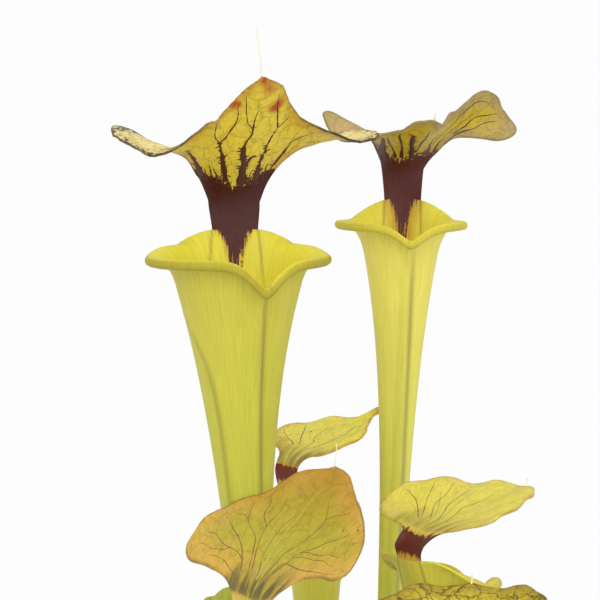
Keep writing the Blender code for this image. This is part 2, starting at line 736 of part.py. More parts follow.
def cut_holes(soil):
    """Cut every leaf's hole into the soil with one Boolean, applied."""
    cutter_mesh = bmesh.new()
    for name in LEAVES:
        leaf = leaf_settings(name)
        depth = ROOT_DEPTH + CLEARANCE
        height = depth + HOLE_OVERRUN
        radius = stem_hole_radius(leaf)
        made = bmesh.ops.create_cone(
            cutter_mesh,
            cap_ends=True,
            segments=HOLE_SIDES,
            radius1=radius * MM,
            radius2=radius * MM,
            depth=height * MM,
        )
        centre = (leaf["base"][0] * MM, leaf["base"][1] * MM, (SOIL_LEVEL - depth + height / 2) * MM)
        bmesh.ops.translate(cutter_mesh, verts=made["verts"], vec=centre)
    mesh = bpy.data.meshes.new("hole_cutter")
    cutter_mesh.to_mesh(mesh)
    cutter_mesh.free()
    cutter = bpy.data.objects.new("hole_cutter", mesh)
    bpy.context.collection.objects.link(cutter)
    cutter.hide_render = True
    cutter.display_type = "WIRE"
    holes = soil.modifiers.new("holes", "BOOLEAN")
    holes.operation = "DIFFERENCE"
    holes.solver = "EXACT"
    holes.object = cutter


def add_leaf(name):
    """One pitcher leaf as its own object."""
    leaf = leaf_settings(name)
    vertices, faces = leaf_solid(leaf)
    return add_object(name, vertices, faces, new_material(name + "_leaf", LEAF_YELLOW))


def main():
    for existing in list(bpy.data.objects):
        bpy.data.objects.remove(existing)
    add_pot()
    cut_holes(add_soil())
    for name in LEAVES:
        add_leaf(name)


main()
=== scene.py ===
"""The looks of the potted yellow pitcher plant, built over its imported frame.

Metres, +Z up. The leaves are worked out in millimetres and turned into metres on the way into a mesh.
Every leaf is a sheet on two grids: rings up the tube and round the rolled lip, and a fan for the column
and the lid. Marks that follow the leaf are stored with its points, and the materials read them.
"""

import math
from functools import partial
from types import SimpleNamespace

import bpy
import numpy as np
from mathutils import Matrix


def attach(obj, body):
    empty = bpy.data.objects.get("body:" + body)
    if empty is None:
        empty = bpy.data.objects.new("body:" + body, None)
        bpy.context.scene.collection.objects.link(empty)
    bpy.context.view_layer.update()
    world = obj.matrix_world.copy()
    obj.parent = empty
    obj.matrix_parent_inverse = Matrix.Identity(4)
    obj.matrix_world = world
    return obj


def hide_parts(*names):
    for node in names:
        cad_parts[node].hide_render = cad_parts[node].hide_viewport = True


bl_info = {
    "name": "Potted pitcher plant",
    "version": (1, 0, 0),
    "blender": (4, 5, 0),
    "location": "3D View > Sidebar > Pitcher",
    "description": "Builds the leaves, veins, soil, pot and studio of a potted yellow pitcher plant",
    "category": "Object",
}

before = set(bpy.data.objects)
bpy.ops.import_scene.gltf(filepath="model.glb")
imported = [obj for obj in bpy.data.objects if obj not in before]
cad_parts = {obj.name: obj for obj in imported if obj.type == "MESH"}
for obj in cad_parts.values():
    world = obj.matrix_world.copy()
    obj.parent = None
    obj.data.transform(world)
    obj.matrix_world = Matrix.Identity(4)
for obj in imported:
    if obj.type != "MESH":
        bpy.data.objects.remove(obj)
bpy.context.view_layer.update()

MM = 0.001
SEED = 11

# Pot and soil, as in the frame, with two edges rounded
POT_HEIGHT = 115.0
POT_RIM_RADIUS = 74.0
POT_BASE_RADIUS = 52.0
POT_WALL = 2.0
POT_FLOOR = 3.0
RIM_BAND_HEIGHT = 14.0
RIM_BAND_STEP = 2.5
POT_SLOPE = (POT_RIM_RADIUS - RIM_BAND_STEP - POT_BASE_RADIUS) / POT_HEIGHT
FOOT_ROUND = 1.2
BAND_ROUND = 0.8
SOIL_LEVEL = 105.0
SOIL_DOME = 3.0
SOIL_LUMP = 1.1
CLEARANCE = 0.3
ROOT_DEPTH = 12.0
FOOT_SPREAD = 2.4
FOOT_FADE = 20.0

# The mouth: where the tube starts to flare, where the lip's crest is, and how far the lip rolls over
FLARE_START = 13.0
CREST_SHARE = 0.62
ROLL_ANGLE = math.radians(165.0)
CURL_STEPS = 12
KEEL_HALF_WIDTH = 1.5
KEEL_FADE_TOP = 40.0
KEEL_FADE_FOOT = 60.0
FOLD_HALF_WIDTH = 1.1

# The lid: spans and places on the flat lid, the ripples of its edge and the depth of its puckers
SLOPE_STEPS = 24
NECK_SPAN = 26.0
SHOULDER_AT = 11.0
SHOULDER_SPAN = 7.0
SCALE_SPAN = 30.0
RIPPLES = 17.0
PUCKER = 0.22
NECK_AT = -5.0
NECK_WIDENING_SPAN = 7.0

# Millimetres inside the maroon patch, for places far outside it
NOT_STAINED = -20.0

# How far the rim's middle line stands out, in sheet thicknesses, and the circle that carries the tube's grain
RIM_BULGE = 0.42
GRAIN_RADIUS = 22.0

# Veins that start below ROOTED_BELOW on the flat lid, in the maroon or at the neck, rise out of the leaf
# gradually. Those at least THICK_VEIN in half width have side spurs. The profile is sideways and upwards.
ROOTED_BELOW = 4.0
THICK_VEIN = 1.2
VEIN_STEPS = 26
VEIN_LIFT = 0.45
VEIN_PROFILE = np.array([(-1.0, -0.25), (-0.75, 0.55), (0.0, 1.0), (0.75, 0.55), (1.0, -0.25)])
THINNEST = 0.06
TWIGS_PER_MM = 1.1
SHOOTS = 15

# The dry thread: how far it starts inside the apex, how far ahead it goes, and its cells
TIP_INSIDE = 1.2
TIP_AHEAD = 1.6
THREAD_STEPS = 22
THREAD_SIDES = 8

# Cells of the two grids. Each cell of the arc that becomes the column meets LID_PER_EAR cells of the lid.
EAR_CELLS = 26
LID_PER_EAR = 3
RING_CELLS = 110
TUBE_ROWS = 46
FLARE_ROWS = 13
CURL_ROWS = 13
COLUMN_ROWS = 12
FAN_ROWS = 46

# The table that finds places in the fan, the step that gives normals there, and the cells of pot and soil
FAN_TABLE = (321, 161)
SMALL_STEP = 0.004
POT_SIDES = 160
SOIL_SIDES = 220
SOIL_RINGS = 90
FLOOR_REACH = 40000.0

# Half of a flat lid, sideways and forwards of the bend over the mouth, in millimetres
PADDLE_FRONT = [(0, 57), (8.5, 48.5), (16, 34), (25, 24), (34, 20), (46, 20), (54.5, 14), (57, 4)]
PADDLE_REAR = [(10, -13), (13, -7), (17, -2), (21, 1.5), (27, 3), (35, 1), (46, -5), (54, -5), (57, 4)]
ROUND_FRONT = [(0, 60), (12, 54), (23, 44), (33.5, 34), (40, 25), (42.8, 18), (42.4, 12)]
BROAD_FRONT = [(0, 60), (13, 58), (27, 51), (38, 38), (43, 24), (43, 12)]
POINTED_FRONT = [(0, 78), (1.8, 67), (5, 55), (15, 45), (30, 35), (39, 24), (43, 12)]
ROUND_REAR = [(8.5, -10), (10.5, -4), (15, -1), (21, 0), (30, 1.6), (37, 3.6), (41, 7.4), (42.4, 12)]
RAISED_REAR = [(8.5, -10), (10, -3), (14, 2), (21, 6), (29, 6.6), (36, 5.6), (41, 8), (42.4, 12.5)]

# Leaf table: the frame's driving values, with small forms of the rims and lids fitted closer to the photo.
# Lengths in millimetres, angles in degrees, heights above the soil. A pair of lobe values is for the lobe on
# the leaf's +X side and the one on its -X side.
COMMON = dict(
    stem=4, depth_ratio=0.92, keel=2.2, lip=1.7, ear_angle=22, ear_rise=8, front_rise=0, rim_fall=1.6,
    flare_blend=56, rim_bumps=[], notch=12, notch_width=7.5, notch_power=1.6, corner_point=1.5, column=21,
    column_roll=1.6, column_lean=(0, 0), back_lean=1, bend_end=6, lid_tilt=45, lobe_tilts=(-15, -15),
    lobe_starts=(14, 14), lobe_ends=(44, 44), lobe_rises=(6, 6), lid_turn=0, keel_turn=0,
    outline=(ROUND_FRONT, ROUND_REAR), lobe_scales=(1, 1), rise_spans=(50, 50), neck_widening=(0, 0),
    rear_drops=(0, 0), shoulders=(1, 1), lid_scale=1, wave=0.8, crinkle=0.06, tip_thread=3, tip_lean=(0, 0),
    tip_radius=0.5, folds=[], bumps=[], field_top=(-4, 3.5, 10), tongue=27, bare_foot=2.5, outer_drop=2,
    blushes=[],
)
LEAVES = {
    "pitcher_tall_left": dict(
        base=(-13, -7), mouth=(-26, -8, 321.5), turn=4, keel_turn=19, lid_turn=14, gain=23.6, taper=71.4,
        reach=(32.9, 27.6), ear_angle=17, outline=(PADDLE_FRONT, PADDLE_REAR), lid_tilt=49,
        lobe_tilts=(-3, -17), lobe_starts=(14, 8), lobe_ends=(47, 43), lobe_rises=(16.5, 19.5),
        lobe_scales=(1.01, 0.885), shoulders=(1.02, 0.77), notch=11.2, lip=1.55, front_rise=1.2, crinkle=0.15,
        tip_thread=18, tip_radius=0.42, tip_lean=(-2.5, 2), folds=[(-38, 52, 22)],
        bumps=[(-0.43, 0.1, 2.8), (-0.24, 0.04, 0.5)],
        blushes=[(-7, 38.5, 2.8, 1.2), (9.5, 37.3, 3.4, 1.3), (4.8, 48.3, 3, 0.8), (1.5, 54, 3, 1)],
    ),
    "pitcher_tall_right": dict(
        base=(30, 30), mouth=(39.2, 44, 329.3), turn=-4, keel_turn=13, lid_turn=19, stem=3.5, gain=14,
        taper=58, reach=(24, 20.6), lip=1.3, front_rise=0.8, notch=7, rim_fall=1.9, flare_blend=78,
        notch_width=7, outline=(PADDLE_FRONT, PADDLE_REAR), lid_tilt=20, lobe_tilts=(66, -40),
        lobe_starts=(4, 5), lobe_ends=(30, 30), lobe_rises=(14, 15), rise_spans=(50, 27),
        lobe_scales=(0.91, 0.71), lid_scale=0.8, neck_widening=(0.2, 0.05), rear_drops=(2.3, 0),
        bumps=[(0.22, 0.1, 3.5)], crinkle=0.1, field_top=(-4.5, 2.5, 9), tongue=30,
    ),
    "pitcher_back": dict(
        base=(6, 32), mouth=(4.5, 45, 211), turn=131, stem=3.5, gain=11.5, taper=60, reach=(18.5, 15.5),
        column=18, column_roll=0.8, outline=(POINTED_FRONT, ROUND_REAR), lid_tilt=14, lobe_tilts=(17, 17),
        lobe_scales=(0.78, 0.54), lobe_rises=(3, 0), shoulders=(1, 0.9), lid_scale=0.74, tip_thread=2,
        bare_foot=4.5, field_top=(-7, 1, 9), blushes=[(0, 54, 6, 1), (0, 45, 4, 0.4)],
    ),
    "pitcher_front": dict(
        base=(-3, -36), mouth=(-4.5, -48, 178), turn=136, stem=3.5, gain=17, taper=60, reach=(26, 22),
        column=16, outline=(ROUND_FRONT, RAISED_REAR), lid_tilt=44, lobe_tilts=(38, 42), lobe_rises=(4.5, 6),
        bumps=[(0.86, 0.2, 4.6), (0.55, 0.2, -2.2), (0.3, 0.16, -1.2)], outer_drop=5, rear_drops=(4.5, -1.6),
        lobe_scales=(1.06, 0.94), tip_thread=8, tip_radius=0.36, field_top=(-3, 1, 9),
    ),
    "pitcher_right": dict(
        base=(44, -16), mouth=(54, -24, 198), turn=130, stem=3.2, gain=14.8, taper=55, reach=(22, 19),
        column=15, column_lean=(-3.2, 3.8), ear_angle=18, rim_fall=0.75, flare_blend=100,
        bumps=[(-0.5, 0.2, 3)], rim_bumps=[(-52, 34, 5), (50, 30, 3.5)], back_lean=0.1, lid_tilt=11,
        lobe_tilts=(24, 18), lobe_ends=(38, 44), lobe_scales=(0.86, 0.66), lobe_rises=(4.7, 3.2),
        rise_spans=(36, 30), rear_drops=(4.6, 0), lid_scale=0.85, field_top=(-2, 1, 9),
    ),
    "pitcher_low_right": dict(
        base=(36, -46), mouth=(56, -78, 158), turn=165, stem=3, gain=12, taper=50, reach=(19, 17), column=12,
        outline=(BROAD_FRONT, ROUND_REAR), lid_tilt=28, lobe_tilts=(30, 42), lobe_rises=(8, 12),
        lid_scale=0.8, field_top=(-3, 1, 9), bare_foot=1,
    ),
    "pitcher_low_left": dict(
        base=(-36, 12), mouth=(-33, 24, 142), turn=170, stem=2.8, gain=6.5, taper=50, reach=(12, 11), lip=1.3,
        notch=6, column=12, lid_tilt=35, lobe_tilts=(20, 20), lobe_scales=(0.5, 0.5), lid_scale=0.45,
        field_top=(-3, 0.5, 5), bare_foot=1,
    ),
}

# Looks of each leaf, with colours as sRGB hex: its tube at the mouth and low down, the inside of its mouth,
# its lip, the lid's two faces with their margins, and the fine net of veins. margin_width and halo are in
# millimetres.
# The mouth colour is lighter than the tube's: the tissue's own yellow, raised as painted light that makes up
# for the shade inside the mouth.
COMMON_LOOK = dict(
    tube="#d6cd4c", tube_low="#b5cd3c", mouth="#eadf45", lip="#b6aa2b", lid_under="#edd64d",
    lid_top="#d2c150", margin_under="#e4b63e", margin_top="#d0a94a", margin_width=9, net="#7d6224",
    net_amount=0.3, spots=0, rim_amount=0.6, halo=1.6, apex="#b07c2a", apex_amount=0, through=1.1,
    maroon_pale="#54211a",
)
LOOKS = {
    "pitcher_tall_left": dict(lid_top="#f0e196", margin_top="#dccc86", spots=1, rim_amount=1.7),
    "pitcher_tall_right": dict(
        mouth="#efe452", tube="#f0e56c", tube_low="#cbdd4d", lid_under="#d0b828", margin_under="#b9a06a",
        maroon_pale="#6e3530", lip="#cfc23c", lid_top="#cba974", margin_top="#b5a65c", halo=5,
    ),
    # The back leaf's tube colours are lighter than the common ones: painted light, making up for the shade its
    # neighbours cast on it.
    "pitcher_back": dict(
        tube="#e6dd5a", tube_low="#cddb4c", lid_top="#f1e85e", margin_top="#dcc04e", margin_width=4,
        net_amount=0.15, halo=6, maroon_pale="#9a3a14",
    ),
    "pitcher_front": dict(
        lid_top="#b9b035", margin_top="#dab04e", margin_width=15, net_amount=0.25, apex_amount=0.6,
        through=1.9, rim_amount=0.9, halo=1.4,
    ),
    # The right leaf's tube colours are lighter than the common ones: painted light, making up for the shade its
    # neighbours cast on it.
    "pitcher_right": dict(
        tube="#e4dc56", tube_low="#c3d048", mouth="#ede24c", lid_top="#dfd558", margin_top="#dccb62",
        margin_width=5, net_amount=0.12, halo=6, maroon_pale="#7a3222", through=0.8, lip="#c8bf40",
    ),
    "pitcher_low_right": dict(lid_top="#cfc039", margin_top="#b09c38", net="#665024", net_amount=0.8),
    "pitcher_low_left": dict(tube="#a9b43c", lid_top="#a9b43c", margin_top="#b8b84c"),
}

# Veins: a half width at each end and a path over the flat lid, sideways and forwards, in millimetres
MAROON_VEINS = {
    "pitcher_tall_left": [
        (1.5, 0.6, [(-3, -6.5), (-4.2, 0.4), (-5.8, 5.6), (-7.5, 11.6), (-10, 18.2)]),
        (0.34, 0.2, [(-9.6, 17.5), (-12.3, 20.4), (-13.2, 24.8), (-13.6, 29.1), (-12.2, 31.6), (-11.4, 33.5)]),
        (0.4, 0.22, [(-9.6, 17.5), (-8, 20.7), (-6.6, 24.8), (-5.6, 28.2), (-5.1, 32.5), (-5.6, 36.5)]),
        (2.2, 1.3, [(3.8, -6), (2.7, 2.1), (2, 8), (0.7, 13.9), (0.2, 18.8)]),
        (0.5, 0.24, [(0.3, 17.5), (0.9, 20.5), (2.1, 24.1), (1.9, 28.9), (1.8, 32.7), (2.1, 38.3)]),
        (0.5, 0.5, [(1.9, 27.6), (2.1, 29.6)]),
        (0.26, 0.18, [(1.6, 28), (-0.4, 30.7), (-2.3, 36), (-3.5, 42.7), (-4.1, 45.5)]),
        (0.8, 0.5, [(3.2, 5), (4.3, 10.2), (7, 10.6)]),
        (1.5, 0.5, [(7.2, -6.5), (8.8, 0.3), (9, 6.8), (9.7, 12.1), (10.5, 16.1)]),
        (0.5, 0.3, [(10.5, 15.8), (11.2, 19.8), (13, 23.9)]),
        (0.36, 0.26, [(13, 23.6), (11.7, 28), (10.8, 32.9), (9.9, 37), (9.3, 43.5)]),
        (0.28, 0.18, [(13, 23.6), (15, 25.6), (16.5, 28.4)]),
        (0.9, 0.22, [(12.5, -5), (15.3, 0.4), (17.1, 3.9), (19.3, 7.3), (20.3, 11.5), (23.1, 14), (28.5, 18)]),
        (1.5, 0.3, [(-9.6, -6.5), (-13.5, -1.8), (-16.1, 2.2), (-19.1, 5.8), (-23, 8.8)]),
        (0.5, 0.2, [(-11.4, -5.6), (-14.8, -3.3), (-18.6, 0.8), (-23, 3.4)]),
        (0.6, 0.3, [(-6.5, -5), (-7.4, -0.5), (-9.6, 2.5)]),
        (0.5, 0.3, [(5.6, -5), (5.8, 0), (6.6, 3)]),
        (0.5, 0.25, [(10.8, -6), (12.2, 0), (12.8, 4)]),
    ],
    "pitcher_tall_right": [
        (2.0, 0.7, [(-6.6, -8), (-8, -0.8), (-10.2, 9)]),
        (0.8, 0.4, [(-1.8, -6.5), (-3, -0.9), (-6.9, 5.8), (-10.1, 13.8)]),
        (0.7, 0.5, [(0.6, -7), (-1.6, 5), (-6.2, 17.8), (-8.3, 25.6)]),
        (1.3, 0.9, [(3.8, -7.5), (3.3, 1), (0.4, 12.6), (-3.2, 26.5)]),
        (0.6, 0.4, [(5.2, -6), (5.9, -1), (10.2, -1.9)]),
        (0.7, 0.35, [(5.1, -3), (4.6, 6), (3.8, 14.4), (2.9, 24.3), (2, 32.9)]),
        (0.7, 0.3, [(6.8, -7), (9.3, 0.5), (9.8, 6.7), (11, 12.2), (13.2, 14)]),
        (0.7, 0.25, [(11, -6), (12.6, 1), (15.6, 6), (19, 7.4), (24, 7), (29, 7.6)]),
        (0.4, 0.2, [(13, -3), (17, 1.5), (22, 3), (31, 2.4), (38, 1.8)]),
        (0.3, 0.2, [(9, 0), (13, 9), (19, 12), (28, 12), (36, 10)]),
        (0.3, 0.2, [(20, 4), (27, 5), (35, 5), (41, 4)]),
    ],
}
BROWN_VEINS = {
    "pitcher_front": [
        (0.27, 0.16, [(5.5, 2), (9.1, 11.8), (12.1, 19.5), (12.9, 26.5), (10.9, 33.8), (10.9, 40.1)]),
        (0.21, 0.16, [(12.9, 26.5), (17, 30.2), (18.2, 33), (17.9, 36.3), (20.7, 40.8)]),
        (0.22, 0.16, [
            (9, 8), (12.2, 15.4), (15, 21.1), (20.5, 24.2), (23.9, 27.2), (27.4, 28.1), (32.4, 27.4)]),
        (0.18, 0.14, [(23.9, 27.2), (26.2, 33.3), (26.3, 35.1)]),
        (0.27, 0.18, [(9.5, 1), (14, 9.5), (18, 14.7), (23.8, 18.9), (32.4, 23.9), (35.7, 25)]),
        (0.21, 0.16, [(14, 9.5), (16.4, 11.4), (23.3, 13.1), (27.7, 14.1), (34.6, 16.8), (39.1, 16.8)]),
        (0.19, 0.16, [(23.3, 13.1), (26.2, 11.9), (31.2, 10.3), (36.3, 10.9), (39.6, 10.5)]),
        (0.21, 0.16, [(9.5, 0), (13.1, 3.1), (18.5, 5.6), (22.2, 7.4), (27.8, 7.5), (30.8, 6.5)]),
        (0.29, 0.19, [
            (0, 2), (-3.5, 8.2), (-6.8, 13.7), (-9.3, 17.5), (-14.7, 19.9), (-20.3, 23), (-28.4, 27.5)]),
        (0.26, 0.16, [
            (0.6, 4), (-1.6, 11.2), (-2.8, 16.9), (-6.6, 21.2), (-9.5, 25.9), (-12.2, 31), (-12.4, 35.7),
            (-9.3, 42), (-8.5, 47)]),
        (0.18, 0.13, [(-12.4, 35), (-17.5, 36.8), (-23.9, 37.1)]),
        (0.18, 0.13, [(3, 6), (6.1, 13.2), (6.5, 22.5), (5.6, 29.9), (2.1, 36.3)]),
        (0.24, 0.18, [(-3, 8), (-6.3, 13.4), (-13.6, 11.5), (-19.7, 10), (-27.8, 9.2), (-34.6, 9)]),
        (0.19, 0.14, [(-11, 18.1), (-20.2, 17.9), (-25.7, 18.3), (-31, 17), (-33.4, 20.6)]),
        (0.19, 0.14, [(-8, 16), (-17.4, 16.1), (-22, 15.4), (-28.5, 12.9), (-31.5, 12.1)]),
        (0.55, 0.45, [(-25.6, 28.7), (-24.8, 29.2)]),
        (0.5, 0.4, [(-33.9, 23.9), (-33.3, 24.2)]),
        (0.4, 0.4, [(-21.3, 15.5), (-20.6, 15.7)]),
        (0.4, 0.4, [(-31.8, 30), (-31.2, 30.3)]),
    ],
    "pitcher_right": [
        (0.2, 0.14, [(6.5, -2), (16.9, 8), (23.3, 12), (29.3, 13), (28, 9)]),
        (0.2, 0.14, [(6.3, -1), (15, 10), (21.5, 19.7), (24.5, 26.4)]),
        (0.2, 0.14, [(3.9, 0), (12, 12), (16.9, 23.3), (20.1, 31.1)]),
        (0.2, 0.14, [(1, 0), (7.8, 14.7), (11.8, 25.8), (12.3, 34)]),
        (0.2, 0.14, [(-2.4, 0), (2.2, 16.7), (2.1, 25), (3.3, 37)]),
    ],
    "pitcher_back": [
        (0.24, 0.16, [(2.3, 0.6), (8, 9.5), (14, 17), (18, 21)]),
        (0.22, 0.14, [(-2.2, -0.7), (2.3, 11), (6.3, 22), (6.3, 27.9)]),
        (0.22, 0.14, [(3.9, 0), (13.9, 7.3), (21.8, 12.4)]),
        (0.22, 0.14, [(-3.6, 0.9), (-6.2, 8.9), (-5.9, 20.4), (-4.2, 30)]),
        (0.5, 0.4, [(8.6, 15.5), (9.2, 16)]),
        (0.35, 0.3, [(15.2, 9.5), (15.7, 9.8)]),
    ],
    "pitcher_low_right": [
        (0.3, 0.2, [(2, 0), (5, 14), (9, 28), (14, 38), (19, 42)]),
        (0.3, 0.2, [(0, 0), (-1, 16), (3, 30), (7.4, 41), (3, 46)]),
        (0.28, 0.2, [(3, 0), (10, 12), (18, 24), (24, 34)]),
        (0.28, 0.2, [(-2, 0), (-7, 14), (-10, 28), (-9, 40)]),
        (0.26, 0.2, [(-3, 0), (-12, 12), (-20, 24), (-25, 33)]),
        (0.24, 0.2, [(9, 28), (4, 33), (-2, 36), (-9, 37)]),
        (0.24, 0.2, [(18, 24), (16, 32), (20, 38), (26, 37)]),
    ],
}
PALE_VEINS = {
    "pitcher_front": [
        (0.4, 0.2, [(2.5, 4), (3.4, 13.1), (3.4, 20), (2.7, 27.1), (1.8, 33.2), (0.9, 39.8), (-1.4, 50)]),
        (0.3, 0.15, [(1.4, 6), (0.8, 14), (-1, 22), (-3, 32)]),
        (0.3, 0.15, [(4.5, 6), (7, 16), (8.6, 24), (8.4, 34)]),
    ],
    "pitcher_right": [
        (0.4, 0.2, [(3, -3), (7, 8), (14, 17), (20, 24)]),
        (0.4, 0.2, [(0, -3), (3, 10), (7.8, 22), (9, 32)]),
        (0.3, 0.2, [(5, -3), (14, 5), (22, 9)]),
    ],
}


def smooth_step(value):
    """0 below 0, 1 above 1 and 3x^2 - 2x^3 between."""
    x = np.clip(value, 0.0, 1.0)
    return x * x * (3.0 - 2.0 * x)


def bell(value):
    """exp(-value^2)."""
    return np.exp(-(value**2))


def shares(count):
    """The shares 1 / count, 2 / count and so on up to 1."""
    return np.linspace(0.0, 1.0, count + 1)[1:]


def by_side(pair, sideways):
    """The first of two lobe values on the leaf's +X side, and the second on its -X side."""
    return np.where(sideways > 0.0, *pair)


def smooth_path(points, share):
    """Points at the given shares of the length of a Catmull-Rom curve through the listed points."""
    knots = np.asarray(points, dtype=float)
    marks = np.concatenate([[0.0], np.cumsum(np.linalg.norm(np.diff(knots, axis=0), axis=1))])
    marks /= marks[-1]
    ends = np.vstack([2.0 * knots[0] - knots[1], knots, 2.0 * knots[-1] - knots[-2]])
    span = np.clip(np.searchsorted(marks, share, side="right") - 1, 0, len(knots) - 2)
    t = ((share - marks[span]) / (marks[span + 1] - marks[span]))[..., None]
    p0, p1, p2, p3 = ends[span], ends[span + 1], ends[span + 2], ends[span + 3]
    slope = (p2 - p0) * t
    square = (2.0 * p0 - 5.0 * p1 + 4.0 * p2 - p3) * t**2
    cube = (3.0 * p1 - p0 - 3.0 * p2 + p3) * t**3
    return 0.5 * (2.0 * p1 + slope + square + cube)


def leaf_values(name):
    """A leaf's own values over the common ones."""
    return SimpleNamespace(**{**COMMON, **LEAVES[name]})


def tube_radius(leaf, depth):
    """stem + gain * exp(-depth / taper), widened again at the foot. Depth is below the mouth."""
    foot = FOOT_SPREAD * np.exp(-np.maximum(leaf.mouth[2] - depth, 0.0) / FOOT_FADE)
    return leaf.stem + leaf.gain * np.exp(-depth / leaf.taper) + foot


def keel_angle(leaf):
    """Where the keel and the spout notch stand round the tube, near its front."""
    return math.pi - math.radians(leaf.keel_turn)


def ring_angles(leaf):
    """Angles round the tube from the back: an even arc at the back, then denser at the ears and the keel."""
    ear = math.radians(leaf.ear_angle)
    back = np.linspace(-ear, ear, EAR_CELLS + 1)
    even = shares(RING_CELLS // 2)
    dense = 0.35 * even + 0.65 * smooth_step(even)
    right = ear + (keel_angle(leaf) - ear) * dense
    left = 2.0 * math.pi - ear - (2.0 * math.pi - ear - keel_angle(leaf)) * dense[:-1]
    return np.concatenate([back, right, left[::-1]])


def off_angle(angle, middle):
    """How far round from a middle angle an angle is, from 0 to pi."""
    return np.abs(np.mod(angle - middle + math.pi, 2.0 * math.pi) - math.pi)


def spout_dip(leaf, angle):
    """Depth of the spout notch in the front lip: notch * exp(-(distance from the keel / width)^power)."""
    offset = off_angle(angle, keel_angle(leaf)) * leaf.reach[1]
    return leaf.notch * np.exp(-((offset / leaf.notch_width) ** leaf.notch_power))


def keel_bump(leaf, angle, radius, depth):
    """The keel down the front: a narrow raised line, strongest along the middle of the tube."""
    off_front = off_angle(angle, keel_angle(leaf)) * radius
    above_soil = leaf.mouth[2] - depth
    height = leaf.keel * smooth_step(depth / KEEL_FADE_TOP) * smooth_step(above_soil / KEEL_FADE_FOOT)
    return height * bell(off_front / KEEL_HALF_WIDTH)


def fold_line(leaf, angle, radius, depth):
    """How near a point is to the tube's side folds, 1 on the line: each starts at the side and swings front."""
    near = np.zeros(np.broadcast(angle, depth).shape)
    for settled, swing, fade in leaf.folds:
        middle = math.pi - np.radians(settled - swing * np.exp(-np.maximum(depth - fade, 0.0) / (0.6 * fade)))
        off = off_angle(angle, middle) * radius
        near = np.maximum(near, bell(off / FOLD_HALF_WIDTH) * smooth_step((depth - 0.7 * fade) / fade))
    return near


def tube_grid(leaf, angle):
    """Rings of the tube from the root up to the flare, closer together towards the mouth."""
    share = np.linspace(1.0, 0.0, TUBE_ROWS, endpoint=False)[:, None]
    top = FLARE_START + spout_dip(leaf, angle)
    depth = top + (leaf.mouth[2] + ROOT_DEPTH - top) * share**1.7
    radius = tube_radius(leaf, depth)
    radius = radius + keel_bump(leaf, angle, radius, depth) + 0.5 * fold_line(leaf, angle, radius, depth)
    return np.stack([radius * np.sin(angle), -leaf.depth_ratio * radius * np.cos(angle), -depth], axis=-1)


def mouth_grid(leaf, angle):
    """Rings of the flare and the lip.

    Up to the crest a ring blends from the plain tube wall to a quadratic curve out to the crest. Beyond it
    the sheet's direction turns steadily, from the wall's lean at the back to a full roll elsewhere.
    """
    flare = np.linspace(0.0, CREST_SHARE, FLARE_ROWS + 1)[1:]
    curl = np.linspace(CREST_SHARE, 1.0, CURL_ROWS + 1)[1:]
    share = np.concatenate([flare, curl])[:, None]
    around = np.mod(angle + math.pi, 2.0 * math.pi) - math.pi
    back = np.maximum(np.cos(around), 0.0)
    front = np.maximum(-np.cos(around), 0.0)
    side_reach, front_reach = leaf.reach
    back_reach = float(tube_radius(leaf, 0.0)) + 1.0
    crest = back_reach * back**2 + front_reach * front**2 + side_reach * np.sin(around) ** 2
    crest = crest + leaf.corner_point * bell((np.degrees(np.abs(around)) - 90.0) / 20.0)
    dip = spout_dip(leaf, angle)
    crest_height = leaf.ear_rise * back ** leaf.rim_fall + leaf.front_rise * front**2 - dip
    for middle, width, amount in leaf.rim_bumps:
        crest_height = crest_height + amount * bell((np.degrees(around) - middle) / width)
    start_height = -FLARE_START - dip
    start_radius = tube_radius(leaf, -start_height) + keel_bump(leaf, around, crest, -start_height)
    flared = smooth_step((np.abs(np.degrees(around)) - leaf.ear_angle) / leaf.flare_blend)
    knee = start_radius + 0.25 * (crest - start_radius)
    lean = math.atan(wall_slope(leaf))
    straight = (1.0 - CREST_SHARE) * (crest_height - start_height)
    lip_length = straight + flared * (leaf.lip * ROLL_ANGLE - straight)
    t = np.minimum(share / CREST_SHARE, 1.0)
    up = start_height + t * CREST_SHARE * (crest_height - start_height)
    radius = (1 - t) ** 2 * start_radius + 2 * t * (1 - t) * knee + t**2 * crest
    height = (1 - t) ** 2 * start_height + 2 * t * (1 - t) * (crest_height - 0.5) + t**2 * crest_height
    plain = tube_radius(leaf, -up)
    radius = plain + flared * (radius - plain)
    height = up + flared * (height - up)
    curled = np.maximum(0.0, (share - CREST_SHARE) / (1.0 - CREST_SHARE))
    step = (np.arange(CURL_STEPS)[:, None, None] + 0.5) / CURL_STEPS
    heading = lean + flared * (math.pi / 2 - lean + ROLL_ANGLE * curled * step)
    radius = radius + lip_length * curled * np.sin(heading).mean(axis=0)
    height = height + lip_length * curled * np.cos(heading).mean(axis=0)
    ratio = leaf.depth_ratio + (1.0 - leaf.depth_ratio) * share * flared
    return np.stack([radius * np.sin(around), -ratio * radius * np.cos(around), height], axis=-1)


def wall_slope(leaf):
    """How fast the tube's wall leans outwards where the column begins."""
    return leaf.gain / leaf.taper * math.exp(leaf.ear_rise / leaf.taper)


def lid_direction(leaf, sideways, forwards):
    """Slope of the lid in the up-forward plane, in radians above level, at a place in the flat lid.

    The column runs straight up from the tube's back wall, which leans back a little. It bends over the
    mouth into the lid, whose side lobes turn about the lateral axis, each to its own tilt.
    """
    column_angle = math.pi / 2 + math.atan(wall_slope(leaf) * leaf.depth_ratio * leaf.back_lean)
    start = by_side(leaf.lobe_starts, sideways)
    end = by_side(leaf.lobe_ends, sideways)
    lobe = by_side(leaf.lobe_tilts, sideways)
    away = (np.abs(sideways) - start) / (end - start)
    tilt = np.radians(leaf.lid_tilt + (lobe - leaf.lid_tilt) * smooth_step(away))
    climb = smooth_step((leaf.bend_end - forwards) / (leaf.bend_end + leaf.column))
    return tilt + (column_angle - tilt) * climb * np.exp(-((sideways / NECK_SPAN) ** 4))


